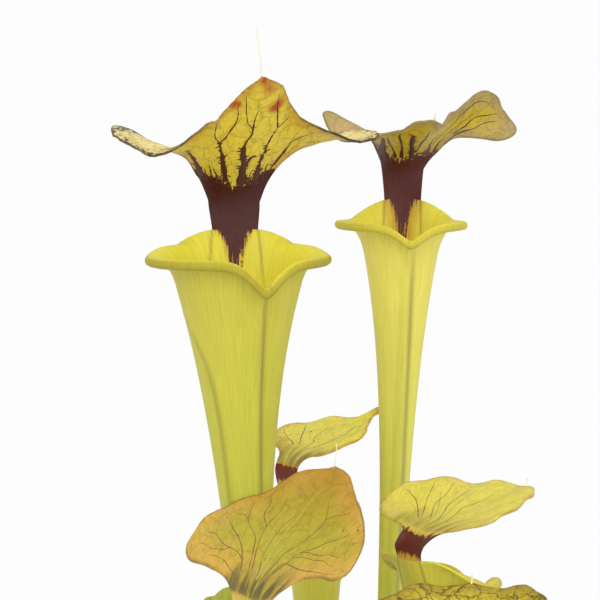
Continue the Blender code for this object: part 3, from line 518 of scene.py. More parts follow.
def lid_place(leaf, sideways, forwards):
    """Carry flat lid places into the leaf's space by adding up short steps along the lid's own slope."""
    step = ((np.arange(SLOPE_STEPS) + 0.5) / SLOPE_STEPS).reshape((-1,) + (1,) * np.ndim(forwards))
    slope = lid_direction(leaf, sideways, forwards * step)
    along = forwards * np.cos(slope).mean(axis=0)
    up = forwards * np.sin(slope).mean(axis=0)
    rise_span = by_side(leaf.rise_spans, sideways)
    up = up + by_side(leaf.lobe_rises, sideways) * smooth_step(np.abs(sideways) / rise_span)
    at_neck = bell((forwards - NECK_AT) / NECK_WIDENING_SPAN)
    sideways = sideways * (1.0 + by_side(leaf.neck_widening, sideways) * at_neck)
    turned = smooth_step((forwards + leaf.column) / (leaf.column + leaf.bend_end))
    turn = math.radians(leaf.lid_turn) * turned
    across = sideways * np.cos(turn) + along * np.sin(turn)
    along = along * np.cos(turn) - sideways * np.sin(turn)
    lean_side, lean_ahead = leaf.column_lean
    return np.stack([across + lean_side * turned, along + lean_ahead * turned, up], axis=-1)


def flat_lid(leaf, across, share):
    """Flat place in the fan: a patch blended from the neck, the front edge, the midline and the rear edge."""
    front_points, rear_points = (np.array(line, dtype=float) for line in leaf.outline)
    scale = leaf.lid_scale
    u = np.abs(across)[..., None]
    v = share[..., None]
    front = smooth_path(front_points, np.abs(across)) * scale
    rear = smooth_path(rear_points, share) * scale
    drop = by_side(leaf.rear_drops, across) * 6.75 * share**2 * (1.0 - share)
    rear = rear - drop[..., None] * np.array([0.0, 1.0])
    neck_edge = rear_points[0] * scale
    neck_middle = np.array([0.0, neck_edge[1]])
    apex = front_points[0] * scale
    neck = neck_edge * np.concatenate([u, np.ones_like(u)], axis=-1)
    middle = neck_middle + v * (apex - neck_middle)
    near_corners = (1 - u) * neck_middle + u * neck_edge
    far_corners = (1 - u) * apex + u * rear_points[-1] * scale
    corners = (1 - v) * near_corners + v * far_corners
    flat = (1 - v) * neck + v * front + (1 - u) * middle + u * rear - corners
    widen = by_side(leaf.lobe_scales, across) - 1.0
    shoulder = by_side(leaf.shoulders, across) - 1.0
    at_shoulder = bell((flat[..., 0] - SHOULDER_AT) / SHOULDER_SPAN)
    forwards = flat[..., 1] * (1.0 + shoulder * share * at_shoulder)
    sideways = flat[..., 0] * np.sign(across) * (1.0 + widen * smooth_step(flat[..., 0] / SCALE_SPAN))
    for middle, width, amount in leaf.bumps:
        forwards = forwards + amount * share**4 * bell((across - middle) / width)
    return sideways, forwards


def column_foot(leaf):
    """The step that sets the column's foot on the tube's back wall."""
    back_reach = float(tube_radius(leaf, -leaf.ear_rise))
    foot = lid_place(leaf, np.zeros(1), np.array([-leaf.column]))[0]
    return np.array([0.0, -leaf.depth_ratio * back_reach, leaf.ear_rise]) - foot


def column_grid(leaf, across, share):
    """Rows of the column: the arc at the ears narrows to the neck while its margins roll backwards."""
    back_reach = float(tube_radius(leaf, -leaf.ear_rise))
    arc = across * math.radians(leaf.ear_angle)
    ear_half = back_reach * np.sin(arc)
    arc_forward = leaf.depth_ratio * back_reach * (1.0 - np.cos(arc))
    neck_half, neck_at = (value * leaf.lid_scale for value in leaf.outline[1][0])
    narrowing = smooth_step(share)
    sideways = ear_half + (neck_half * across - ear_half) * narrowing
    forwards = -leaf.column + share * (leaf.column + neck_at) + 0.0 * across
    points = lid_place(leaf, sideways, forwards) + column_foot(leaf)
    points[..., 1] += (1.0 - narrowing) * arc_forward - narrowing * leaf.column_roll * across**4
    return points, sideways, forwards


def lid_surface(leaf, across, share):
    """The lid's middle surface over its fan: the flat lid carried into space.

    A long ripple runs along its edge, with a fine crinkle that fades inwards, and it puckers between veins.
    """
    sideways, forwards = flat_lid(leaf, across, share)
    points = lid_place(leaf, sideways, forwards) + column_foot(leaf)
    phase = leaf.turn + leaf.lid_turn
    points[..., 1] -= leaf.column_roll * (1.0 - share) ** 2 * across**4
    points[..., 2] += leaf.wave * share**2 * np.sin(across * RIPPLES + leaf.turn)
    crinkle = np.sin(43.0 * across + phase) + 0.7 * np.sin(71.0 * across - phase) + 0.5 * np.sin(117.0 * across)
    points[..., 1:] += (leaf.crinkle * share**6 * crinkle)[..., None]
    pucker = np.sin(0.42 * sideways + 0.11 * forwards + phase) * np.sin(0.33 * forwards - 0.1 * sideways)
    points[..., 2] += PUCKER * smooth_step(share * 4.0) * (1.0 - share**6) * pucker
    return points


def to_world(leaf, points):
    """Turn a leaf's sideways, forwards, up into world millimetres along its curved centreline."""
    turn = math.radians(leaf.turn)
    mouth_x, mouth_y, mouth_height = leaf.mouth
    base_x, base_y = leaf.base
    bend = smooth_step(-points[..., 2] / mouth_height)
    side, ahead, up = points[..., 0], points[..., 1], points[..., 2]
    x = side * math.cos(turn) + ahead * math.sin(turn) + mouth_x + (base_x - mouth_x) * bend
    y = side * math.sin(turn) - ahead * math.cos(turn) + mouth_y + (base_y - mouth_y) * bend
    return np.stack([x, y, up + mouth_height + SOIL_LEVEL], axis=-1)


def stain_field(leaf, ring, column, fan):
    """Millimetres inside the maroon patch, on the inner and the outer face.

    Inside the mouth it is a tongue whose half width shrinks downwards. It fills the column, and ends on the
    lid along a line that rises towards the margins, but not out on the lobes. Outside, it ends a little above
    the ears.
    """
    down = leaf.ear_rise - ring[..., 2]
    ear_half = float(tube_radius(leaf, 0.0)) * math.sin(math.radians(leaf.ear_angle))
    half = ear_half * (0.42 + 0.6 * np.exp(-down / 6.0)) * (1.0 - down / leaf.tongue)
    tongue = half - np.abs(ring[..., 0]) + np.where(ring[..., 1] < 0.0, 0.0, NOT_STAINED)
    top, climb, span = leaf.field_top
    depths = []
    for sideways, forwards in (column, fan):
        on_lobe = np.maximum(np.abs(sideways) - 1.6 * span, 0.0)
        depths.append(top + climb * smooth_step(np.abs(sideways) / span) - forwards - 3.0 * on_lobe)
    above_ears = np.minimum(depths[0], column[1] + leaf.column - leaf.bare_foot)
    inner = [tongue, *depths]
    outer = [np.full_like(tongue, NOT_STAINED), above_ears, depths[1] - leaf.outer_drop]
    return [np.concatenate([part.ravel() for part in parts]) for parts in (inner, outer)]


def leaf_marks(leaf, angle, ring, column, fan):
    """What the materials read at each point of the sheet.

    lid: 0 on the tube and 1 on the lid. lip: 1 on the rolled lip. edge: millimetres from the lid's margin.
    crease: 1 just beside the keel and on the folds, where the material paints shade. shade: millimetres inside
    the maroon of the inner face, which shows faintly through. blush: where the lid reddens. grain: a place that
    is stretched along the leaf, so that noise on it runs lengthwise. flat: the place on the unrolled leaf in
    millimetres.
    """
    depth = -ring[..., 2]
    wide = np.hypot(ring[..., 0], ring[..., 1])
    # Where shade is painted: a line just to one side of the keel, the tube's side folds and the folds below the
    # ears
    keel_line = bell(off_angle(angle + 1.6 / wide, keel_angle(leaf)) * wide / 1.3) * smooth_step(depth / 30.0)
    crease = np.maximum(keel_line, 0.8 * fold_line(leaf, angle, wide, depth))
    below_ear = depth + leaf.ear_rise
    ear_fold = math.radians(leaf.ear_angle) + 0.009 * below_ear
    off_fold = np.abs(off_angle(angle, 0.0) - ear_fold) * wide
    crease = np.maximum(crease, bell(off_fold / 0.5) * smooth_step(1.4 - below_ear / 26.0))
    circle = [GRAIN_RADIUS * np.cos(angle) + 0.0 * depth, GRAIN_RADIUS * np.sin(angle) + 0.0 * depth]
    curled = np.concatenate([np.zeros(TUBE_ROWS + FLARE_ROWS), shares(CURL_ROWS)])[:, None]
    off_ears = smooth_step((np.degrees(off_angle(angle, 0.0)) - leaf.ear_angle - 8.0) / leaf.flare_blend)
    sideways, forwards = (np.concatenate(parts) for parts in zip(column, fan))
    from_neck = forwards + leaf.column
    swing = np.arctan2(sideways, from_neck + 12.0)
    across = np.abs(np.linspace(-1.0, 1.0, sideways.shape[1]))
    up = np.concatenate([np.zeros(len(column[0])), shares(FAN_ROWS)])[:, None]
    half = np.abs(sideways).max(axis=1, keepdims=True)
    blush = np.zeros_like(sideways)
    for place_x, place_y, size, strength in leaf.blushes:
        blush = blush + strength * bell(np.hypot(sideways - place_x, forwards - place_y) / size)
    no_ring, no_lid = np.zeros_like(depth), np.zeros_like(sideways)
    marks = {
        "lip": (smooth_step(curled * 2.5) * off_ears, no_lid),
        "lid": (no_ring, smooth_step((from_neck - 2.0) / 14.0)),
        "edge": (no_ring + 30.0, np.minimum((1.0 - across) * half, (1.0 - up) * np.ptp(forwards))),
        "crease": (crease, no_lid),
        "blush": (no_ring, blush),
        "grain": (
            np.stack([*circle, ring[..., 2] / 20.0], axis=-1),
            np.stack([30.0 * swing, 80.0 + np.hypot(sideways, from_neck) / 6.0, 0.0 * swing], axis=-1),
        ),
        "flat": (
            np.stack([*circle, ring[..., 2]], axis=-1),
            np.stack([sideways, forwards, 0.0 * sideways], axis=-1),
        ),
    }
    for name, parts in marks.items():
        marks[name] = np.concatenate([part.reshape(-1, *part.shape[2:]) for part in parts])
    marks["shade"], marks["stain"] = stain_field(leaf, ring, column, fan)
    return marks


def grid_quads(first, rows, count, closed):
    """Quads between neighbouring rows of a grid, wound low, high, next high, next low."""
    low = first + np.arange(rows - 1)[:, None] * count + np.arange(count if closed else count - 1)
    step = np.where(np.arange(low.shape[1]) == count - 1, 1 - count, 1)
    return np.stack([low, low + count, low + count + step, low + step], axis=-1).reshape(-1, 4)


def fan_join(low, high):
    """Triangles between a row and one with LID_PER_EAR times its cells."""
    triangles = []
    for k in range(LID_PER_EAR):
        corner = low[:-1] if k < LID_PER_EAR - 1 else low[1:]
        triangles.append(np.stack([corner, high[k:-1:LID_PER_EAR], high[k + 1 :: LID_PER_EAR]], axis=-1))
    triangles.append(np.stack([low[:-1], high[LID_PER_EAR - 1 : -1 : LID_PER_EAR], low[1:]], axis=-1))
    return np.concatenate(triangles)


def face_normals(points, faces):
    """Unit normals at the points, from the cross products of the faces' diagonals or edges."""
    total = np.zeros_like(points)
    for group in faces:
        corners = points[group]
        if group.shape[1] == 4:
            cross = np.cross(corners[:, 2] - corners[:, 0], corners[:, 3] - corners[:, 1])
        else:
            cross = np.cross(corners[:, 1] - corners[:, 0], corners[:, 2] - corners[:, 0])
        for k in range(group.shape[1]):
            np.add.at(total, group[:, k], cross)
    return total / np.linalg.norm(total, axis=1)[:, None]


def leaf_shell(leaf, sheet):
    """The leaf as a closed shell: outer face, inner face and a rounded rim, with the marks of its points."""
    angle = ring_angles(leaf)
    ring = np.concatenate([tube_grid(leaf, angle), mouth_grid(leaf, angle)])
    across = np.linspace(-1.0, 1.0, EAR_CELLS * LID_PER_EAR + 1)[None, :]
    column_share = shares(COLUMN_ROWS)[:, None]
    column_points, *column = column_grid(leaf, across, column_share)
    foot = column_grid(leaf, across, np.zeros((1, 1)))[0][0]
    ears = np.linspace(-1.0, 1.0, EAR_CELLS + 1)
    gap = np.stack([np.interp(across[0], ears, ring[-1, : EAR_CELLS + 1, k]) for k in range(3)], axis=-1) - foot
    column_points = column_points + gap * (1.0 - smooth_step(column_share))[..., None]
    across, fan_share = np.broadcast_arrays(across, shares(FAN_ROWS)[:, None])
    fan = flat_lid(leaf, across, fan_share)
    lid = np.concatenate([column_points, lid_surface(leaf, across, fan_share)])
    points = to_world(leaf, np.concatenate([ring.reshape(-1, 3), lid.reshape(-1, 3)]))
    rows, count = ring.shape[:2]
    lid_ids = rows * count + np.arange(lid[..., 0].size).reshape(lid.shape[:2])
    top = (rows - 1) * count + np.arange(count)
    quads = [grid_quads(0, rows, count, True), grid_quads(rows * count, len(lid), lid.shape[1], False)]
    joined = fan_join(top[: EAR_CELLS + 1], lid_ids[0])
    normals = face_normals(points, quads + [joined])
    edge_loop = np.concatenate([top[EAR_CELLS:], top[:1], lid_ids[:, 0], lid_ids[-1, 1:], lid_ids[-2::-1, -1]])
    loops = [edge_loop, np.arange(count)[::-1]]
    total = len(points)
    faces = [np.concatenate(quads), joined, np.concatenate(quads)[:, ::-1] + total, joined[:, ::-1] + total]
    places = [points + normals * sheet / 2, points - normals * sheet / 2]
    source = [np.arange(total), np.arange(total)]
    first = 2 * total
    for loop in loops:
        following = np.roll(loop, -1)
        along = points[following] - points[np.roll(loop, 1)]
        outwards = np.cross(normals[loop], along)
        outwards /= -np.linalg.norm(outwards, axis=1)[:, None]
        places.append(points[loop] + outwards * sheet * RIM_BULGE)
        source.append(loop)
        rim = first + np.arange(len(loop))
        next_rim = np.roll(rim, -1)
        faces.append(np.stack([following, loop, rim, next_rim], axis=-1))
        faces.append(np.stack([next_rim, rim, loop + total, following + total], axis=-1))
        first += len(loop)
    source = np.concatenate(source)
    marks = {name: values[source] for name, values in leaf_marks(leaf, angle, ring, column, fan).items()}
    inside = np.concatenate([np.zeros(total), np.ones(total), np.full(first - 2 * total, 0.5)])
    marks["inside"] = inside
    marks["stain"] = inside * marks["shade"] + (1.0 - inside) * marks["stain"]
    return np.concatenate(places), faces, marks


def fan_places(leaf, paths):
    """Nearest fan place, across and share, for each point of some flat paths, from a fine table of the fan."""
    across, share = np.meshgrid(np.linspace(-1.0, 1.0, FAN_TABLE[0]), np.linspace(0.0, 1.0, FAN_TABLE[1]))
    sideways, forwards = flat_lid(leaf, across, share)
    flat = np.concatenate([np.array(path, dtype=float) for path in paths])
    distance = (sideways.ravel()[None] - flat[:, :1]) ** 2 + (forwards.ravel()[None] - flat[:, 1:]) ** 2
    nearest = distance.argmin(axis=1)
    places = np.stack([across.ravel()[nearest], share.ravel()[nearest]], axis=-1)
    return np.split(places, np.cumsum([len(path) for path in paths])[:-1])


def lid_frame(leaf, across, share):
    """World places of the lid's middle surface and its outward normals, from small steps both ways."""
    place = to_world(leaf, lid_surface(leaf, across, share))
    over = to_world(leaf, lid_surface(leaf, across + SMALL_STEP, share)) - place
    ahead = to_world(leaf, lid_surface(leaf, across, share - SMALL_STEP)) - place
    normal = np.cross(over, ahead)
    return place, normal / np.linalg.norm(normal, axis=1)[:, None]


def vein_mesh(leaf, veins, face, relief, rng):
    """Low ridges along the veins: a lens-shaped profile carried along each path, its width a little uneven.

    face is 1 for the outer face of the lid and -1 for its inner face.
    """
    places, faces = [], []
    first = 0
    count = len(VEIN_PROFILE)
    t = np.linspace(0.0, 1.0, VEIN_STEPS)
    for (start, end, flat), controls in zip(veins, fan_places(leaf, [vein[2] for vein in veins])):
        path = smooth_path(controls, t)
        wobble = np.pad(rng.normal(0.0, 1.0, VEIN_STEPS), 1, mode="edge")
        wobble = np.convolve(wobble, [0.25, 0.5, 0.25], "valid")
        half = (start + (end - start) * t**0.8) * (1.0 + 0.3 * wobble) * (1.0 - t**12 * 0.85)
        half = np.maximum(half, THINNEST)
        middle, normal = lid_frame(leaf, path[:, 0], np.clip(path[:, 1], SMALL_STEP, 0.995))
        ahead = np.gradient(middle, axis=0)
        ahead /= np.linalg.norm(ahead, axis=1)[:, None] + 1e-9
        normal = normal * face
        side = np.cross(ahead, normal)
        height = relief * (0.6 + 0.4 * np.minimum(half, 1.0))
        rooted = flat[0][1] < ROOTED_BELOW
        sunk = 0.6 * rooted * (1.0 - smooth_step(t / 0.16))
        over = middle + normal * (VEIN_LIFT - sunk[:, None])
        ring = over[:, None] + side[:, None] * VEIN_PROFILE[None, :, :1] * half[:, None, None]
        ring = ring + normal[:, None] * VEIN_PROFILE[None, :, 1:] * height[:, None, None]
        places.append(ring.reshape(-1, 3))
        ends = first + np.arange(count)[None]
        faces += [grid_quads(first, VEIN_STEPS, count, True)[:, ::-1], ends]
        faces.append((ends + (VEIN_STEPS - 1) * count)[:, ::-1])
        first += VEIN_STEPS * count
    return np.concatenate(places), faces


def twig_paths(veins, rng):
    """Short side spurs of the thick veins, of uneven length and slant, on either side."""
    twigs = []
    for start, end, flat in veins:
        if start < THICK_VEIN:
            continue
        count = int(TWIGS_PER_MM * np.linalg.norm(np.diff(flat, axis=0), axis=1).sum())
        for t in np.sort(rng.uniform(0.08, 0.98, count)):
            before, here = smooth_path(flat, np.array([t - 0.04, t]))
            ahead = (here - before) / np.linalg.norm(here - before)
            side = np.array([ahead[1], -ahead[0]]) * rng.choice([-1.0, 1.0])
            half = start + (end - start) * t
            length = 0.6 * half + rng.uniform(0.3, 1.0) + 1.3 * rng.uniform(0.0, 1.0) ** 3
            tip = here + side * length + ahead * rng.uniform(-0.8, 1.4)
            bend = (here + tip) / 2 + ahead * rng.uniform(-0.4, 0.6)
            twigs.append((rng.uniform(0.35, 0.85), 0.22, [tuple(here), tuple(bend), tuple(tip)]))
    return twigs


def shoot_paths(leaf, rng):
    """Small veins that leave the maroon's upper edge between the thick ones, most with a side branch."""
    top, climb, span = leaf.field_top
    shoots = []
    for x in np.linspace(-1.25, 1.3, SHOOTS) * span + rng.uniform(-0.5, 0.5, SHOOTS):
        edge = top + climb * float(smooth_step(abs(x) / span))
        height = rng.uniform(1.5, 5.5)
        fan_out = x / (span + 6.0) * height
        tip = np.array([x + fan_out + rng.uniform(-0.8, 0.8), edge + height])
        foot = np.array([x, edge - 2.5])
        bend = (foot + tip) / 2 + rng.uniform(-0.6, 0.6, 2)
        shoots.append((rng.uniform(0.4, 0.75), 0.2, [tuple(foot), tuple(bend), tuple(tip)]))
        if height > 2.5:
            branch = bend + np.array([rng.choice([-1.0, 1.0]) * rng.uniform(0.9, 1.9), rng.uniform(0.4, 1.8)])
            shoots.append((0.4, 0.18, [tuple(bend), tuple((bend + branch) / 2 + 0.15), tuple(branch)]))
    return shoots


def thread_mesh(leaf):
    """The dry thread at a lid's apex: a thin round tube that leaves the edge ahead and then climbs."""
    (before, apex), _ = lid_frame(leaf, np.zeros(2), np.array([0.9, 0.995]))
    ahead = (apex - before) / np.linalg.norm(apex - before)
    share = np.linspace(0.0, 1.0, THREAD_STEPS)[:, None]
    climb = np.array([*leaf.tip_lean, 0.0]) * share**2 + np.array([0.0, 0.0, leaf.tip_thread]) * share**1.5
    run = ahead * (TIP_AHEAD + TIP_INSIDE) * (1.0 - (1.0 - share) ** 2)
    centre = apex - ahead * TIP_INSIDE + run + climb
    turn = np.linspace(0.0, 2.0 * math.pi, THREAD_SIDES, endpoint=False)[None, :, None]
    circle = np.concatenate([np.cos(turn), np.sin(turn), 0.0 * turn], axis=-1)
    rings = centre[:, None] + (leaf.tip_radius * (1.0 - 0.5 * share**0.4))[:, None] * circle
    ends = np.arange(THREAD_SIDES)[None]
    sides = grid_quads(0, THREAD_STEPS, THREAD_SIDES, True)[:, ::-1]
    return rings.reshape(-1, 3), [sides, ends[:, ::-1], ends + (THREAD_STEPS - 1) * THREAD_SIDES]


def turned_shape(profile, sides):
    """A closed profile of radius and height turned round the upright axis, with its poles merged."""
    profile = np.array(profile, dtype=float)
    turn = np.linspace(0.0, 2.0 * math.pi, sides, endpoint=False)[None, :, None]
    radius, height = profile[1:-1, None, :1], profile[1:-1, None, 1:]
    rings = np.concatenate([radius * np.cos(turn), radius * np.sin(turn), height + 0.0 * turn], axis=2)
    places = np.concatenate([rings.reshape(-1, 3), [[0.0, 0.0, profile[0, 1]], [0.0, 0.0, profile[-1, 1]]]])
    rows = len(profile) - 2
    low = np.arange(sides)
    high = low + (rows - 1) * sides
    foot = np.stack([np.roll(low, -1), low, np.full(sides, rows * sides)], axis=-1)
    top = np.stack([high, np.roll(high, -1), np.full(sides, rows * sides + 1)], axis=-1)
    return places, [grid_quads(0, rows, sides, True)[:, ::-1], foot, top]


def wall_radius(height):
    """Radius of the outside of the pot's wall, which widens evenly upwards."""
    return POT_BASE_RADIUS + POT_SLOPE * height


def pot_profile():
    """The pot's wall from the middle of its underside, up the outside, over a rounded rim and down inside."""
    band = POT_HEIGHT - RIM_BAND_HEIGHT
    step = wall_radius(band)
    inner_rim = wall_radius(POT_HEIGHT) - POT_WALL
    middle = (POT_RIM_RADIUS + inner_rim) / 2
    half = (POT_RIM_RADIUS - inner_rim) / 2
    foot = POT_BASE_RADIUS - FOOT_ROUND
    profile = [(0.0, 0.0), (POT_BASE_RADIUS - 6.0, 0.0), (foot, 0.0)]
    for bend in np.radians([30.0, 60.0, 90.0]):
        profile.append((foot + FOOT_ROUND * math.sin(bend), FOOT_ROUND - FOOT_ROUND * math.cos(bend)))
    profile += [(wall_radius(height), height) for height in np.linspace(6.0, band - 1.0, 16)]
    for bend in np.radians([20.0, 50.0, 90.0]):
        profile.append((step + RIM_BAND_STEP * math.sin(bend), band + BAND_ROUND - BAND_ROUND * math.cos(bend)))
    for height in np.linspace(band + 2.0, POT_HEIGHT - 1.0, 6):
        profile.append((step + RIM_BAND_STEP + POT_SLOPE * (height - band), height))
    for bend in np.radians([30.0, 60.0, 90.0, 120.0, 150.0]):
        profile.append((middle + half * math.cos(bend), POT_HEIGHT - 1.0 + math.sin(bend)))
    for height in np.linspace(POT_HEIGHT - 1.0, POT_FLOOR, 12):
        profile.append((wall_radius(height) - POT_WALL, height))
    return profile + [(0.0, POT_FLOOR)]


def soil_mesh():
    """The peat plug: a disc whose top is a low dome with lumps of a few sizes, over a plain side and base."""
    inset = POT_WALL + CLEARANCE
    bottom = POT_FLOOR + CLEARANCE
    edge = wall_radius(SOIL_LEVEL) - inset
    profile = [(0.0, bottom), (wall_radius(bottom) - inset, bottom)]
    profile += [(radius, SOIL_LEVEL) for radius in np.linspace(edge, 0.6, SOIL_RINGS)]
    places, faces = turned_shape(profile + [(0.0, SOIL_LEVEL)], SOIL_SIDES)
    places[:, 2] += np.where(places[:, 2] > SOIL_LEVEL - 1.0, soil_lift(places[:, 0], places[:, 1], edge), 0.0)
    return places, faces


def soil_lift(x, y, edge):
    """Height of the soil above its level: the frame's dome and lumps, with finer clods added."""
    share = np.clip(1.0 - (x**2 + y**2) / edge**2, 0.0, 1.0)
    lump = np.sin(0.21 * x + 1.0) * np.cos(0.17 * y) + np.sin(0.4 * (x - y))
    clod = np.sin(1.1 * x + 0.7 * np.sin(0.9 * y)) * np.sin(1.3 * y + 0.8 * np.sin(0.7 * x))
    crumb = np.sin(2.9 * x + 1.7 * np.sin(1.3 * y)) * np.sin(2.6 * y + 1.9 * np.sin(1.7 * x))
    return SOIL_DOME * share + np.minimum(share * 8.0, 1.0) * (SOIL_LUMP * lump + 0.55 * clod + 0.35 * crumb)


def crumb_mesh(count, size, rng):
    """Loose bits: small eight-faced lumps, each stretched and turned its own way, resting on the soil."""
    edge = wall_radius(SOIL_LEVEL) - POT_WALL - CLEARANCE
    reach = (edge - 3.0) * np.sqrt(rng.uniform(0.0, 1.0, count))
    turn = rng.uniform(0.0, 2.0 * math.pi, count)
    x, y = reach * np.cos(turn), reach * np.sin(turn)
    corners = np.array([(1, 0, 0), (0, 1, 0), (-1, 0, 0), (0, -1, 0), (0, 0, 1), (0, 0, -1)], dtype=float)
    around = np.arange(4)
    after = (around + 1) % 4
    upper = np.stack([around, after, np.full(4, 4)], axis=-1)
    lower = np.stack([after, around, np.full(4, 5)], axis=-1)
    triangles = np.concatenate([upper, lower])
    sizes = size * rng.uniform(0.5, 1.3, (count, 1, 3)) * np.array([1.0, 1.0, 0.6])
    spin = rng.uniform(0.0, math.pi, (count, 1))
    local = corners[None] * sizes * rng.uniform(0.75, 1.25, (count, 6, 1))
    turned_x = local[..., 0] * np.cos(spin) - local[..., 1] * np.sin(spin) + x[:, None]
    turned_y = local[..., 0] * np.sin(spin) + local[..., 1] * np.cos(spin) + y[:, None]
    lift = SOIL_LEVEL + soil_lift(x, y, edge)[:, None] + 0.2 * size
    places = np.stack([turned_x, turned_y, local[..., 2] + lift], axis=-1).reshape(-1, 3)
    faces = (triangles[None] + 6 * np.arange(count)[:, None, None]).reshape(-1, 3)
    return places, [faces]


def add_piece(name, material, places, faces, marks=None):
    """Put numpy places in millimetres and groups of faces into a smooth mesh in the scene, with the marks on
    its points.
    """
    mesh = bpy.data.meshes.new(name)
    sizes = np.concatenate([np.full(len(group), group.shape[1]) for group in faces])
    corners = np.concatenate([np.asarray(group).ravel() for group in faces]).astype(np.int32)
    mesh.vertices.add(len(places))
    mesh.loops.add(len(corners))
    mesh.polygons.add(len(sizes))
    mesh.vertices.foreach_set("co", (places * MM).astype(np.float32).ravel())
    mesh.loops.foreach_set("vertex_index", corners)
    mesh.polygons.foreach_set("loop_start", np.concatenate([[0], np.cumsum(sizes)[:-1]]).astype(np.int32))
    mesh.polygons.foreach_set("use_smooth", np.ones(len(sizes), dtype=bool))
    mesh.update(calc_edges=True)
    for mark, values in (marks or {}).items():
        kind, field = ("FLOAT_VECTOR", "vector") if values.ndim == 2 else ("FLOAT", "value")
        mesh.attributes.new(mark, kind, "POINT").data.foreach_set(field, values.astype(np.float32).ravel())
    mesh.materials.append(material)
    piece = bpy.data.objects.new(name, mesh)
    bpy.context.scene.collection.objects.link(piece)
    return piece


# What a Mix node that mixes colours is given, and its colour output
MIXED = {"data_type": "RGBA", "out": 2}


def linear(hex_colour):
    """An sRGB hex colour as linear RGBA."""
    coded = np.array([int(hex_colour[k : k + 2], 16) / 255.0 for k in (1, 3, 5)])
    plain = np.where(coded <= 0.04045, coded / 12.92, ((coded + 0.055) / 1.055) ** 2.4)
    return (*(float(c) for c in plain), 1.0)


def add_node(tree, kind, *values, out=0, **named):
    """Add one node, set its fields and inputs, and give one of its outputs.

    The values are numbers, colours, hex too, or other nodes' outputs, for its inputs in their order. A small
    letter starts the name of one of the node's own fields, a capital one an input's name, and in_ its number.
    """
    node = tree.nodes.new("ShaderNode" + kind)
    inputs = dict(enumerate(values))
    for name, value in named.items():
        if name.startswith("in_"):
            inputs[int(name[3:])] = value
        elif name[0].isupper():
            inputs[name.replace("_", " ")] = value
        else:
            setattr(node, name, value)
    for place, value in inputs.items():
        if isinstance(value, bpy.types.NodeSocket):
            tree.links.new(value, node.inputs[place])
        else:
            node.inputs[place].default_value = linear(value) if isinstance(value, str) else value
    return node.outputs[out] if node.outputs else None


def new_material(name):
    """An empty material, and add_node for its tree."""
    material = bpy.data.materials.new(name)
    material.use_nodes = True
    material.node_tree.nodes.clear()
    return material, partial(add_node, material.node_tree)


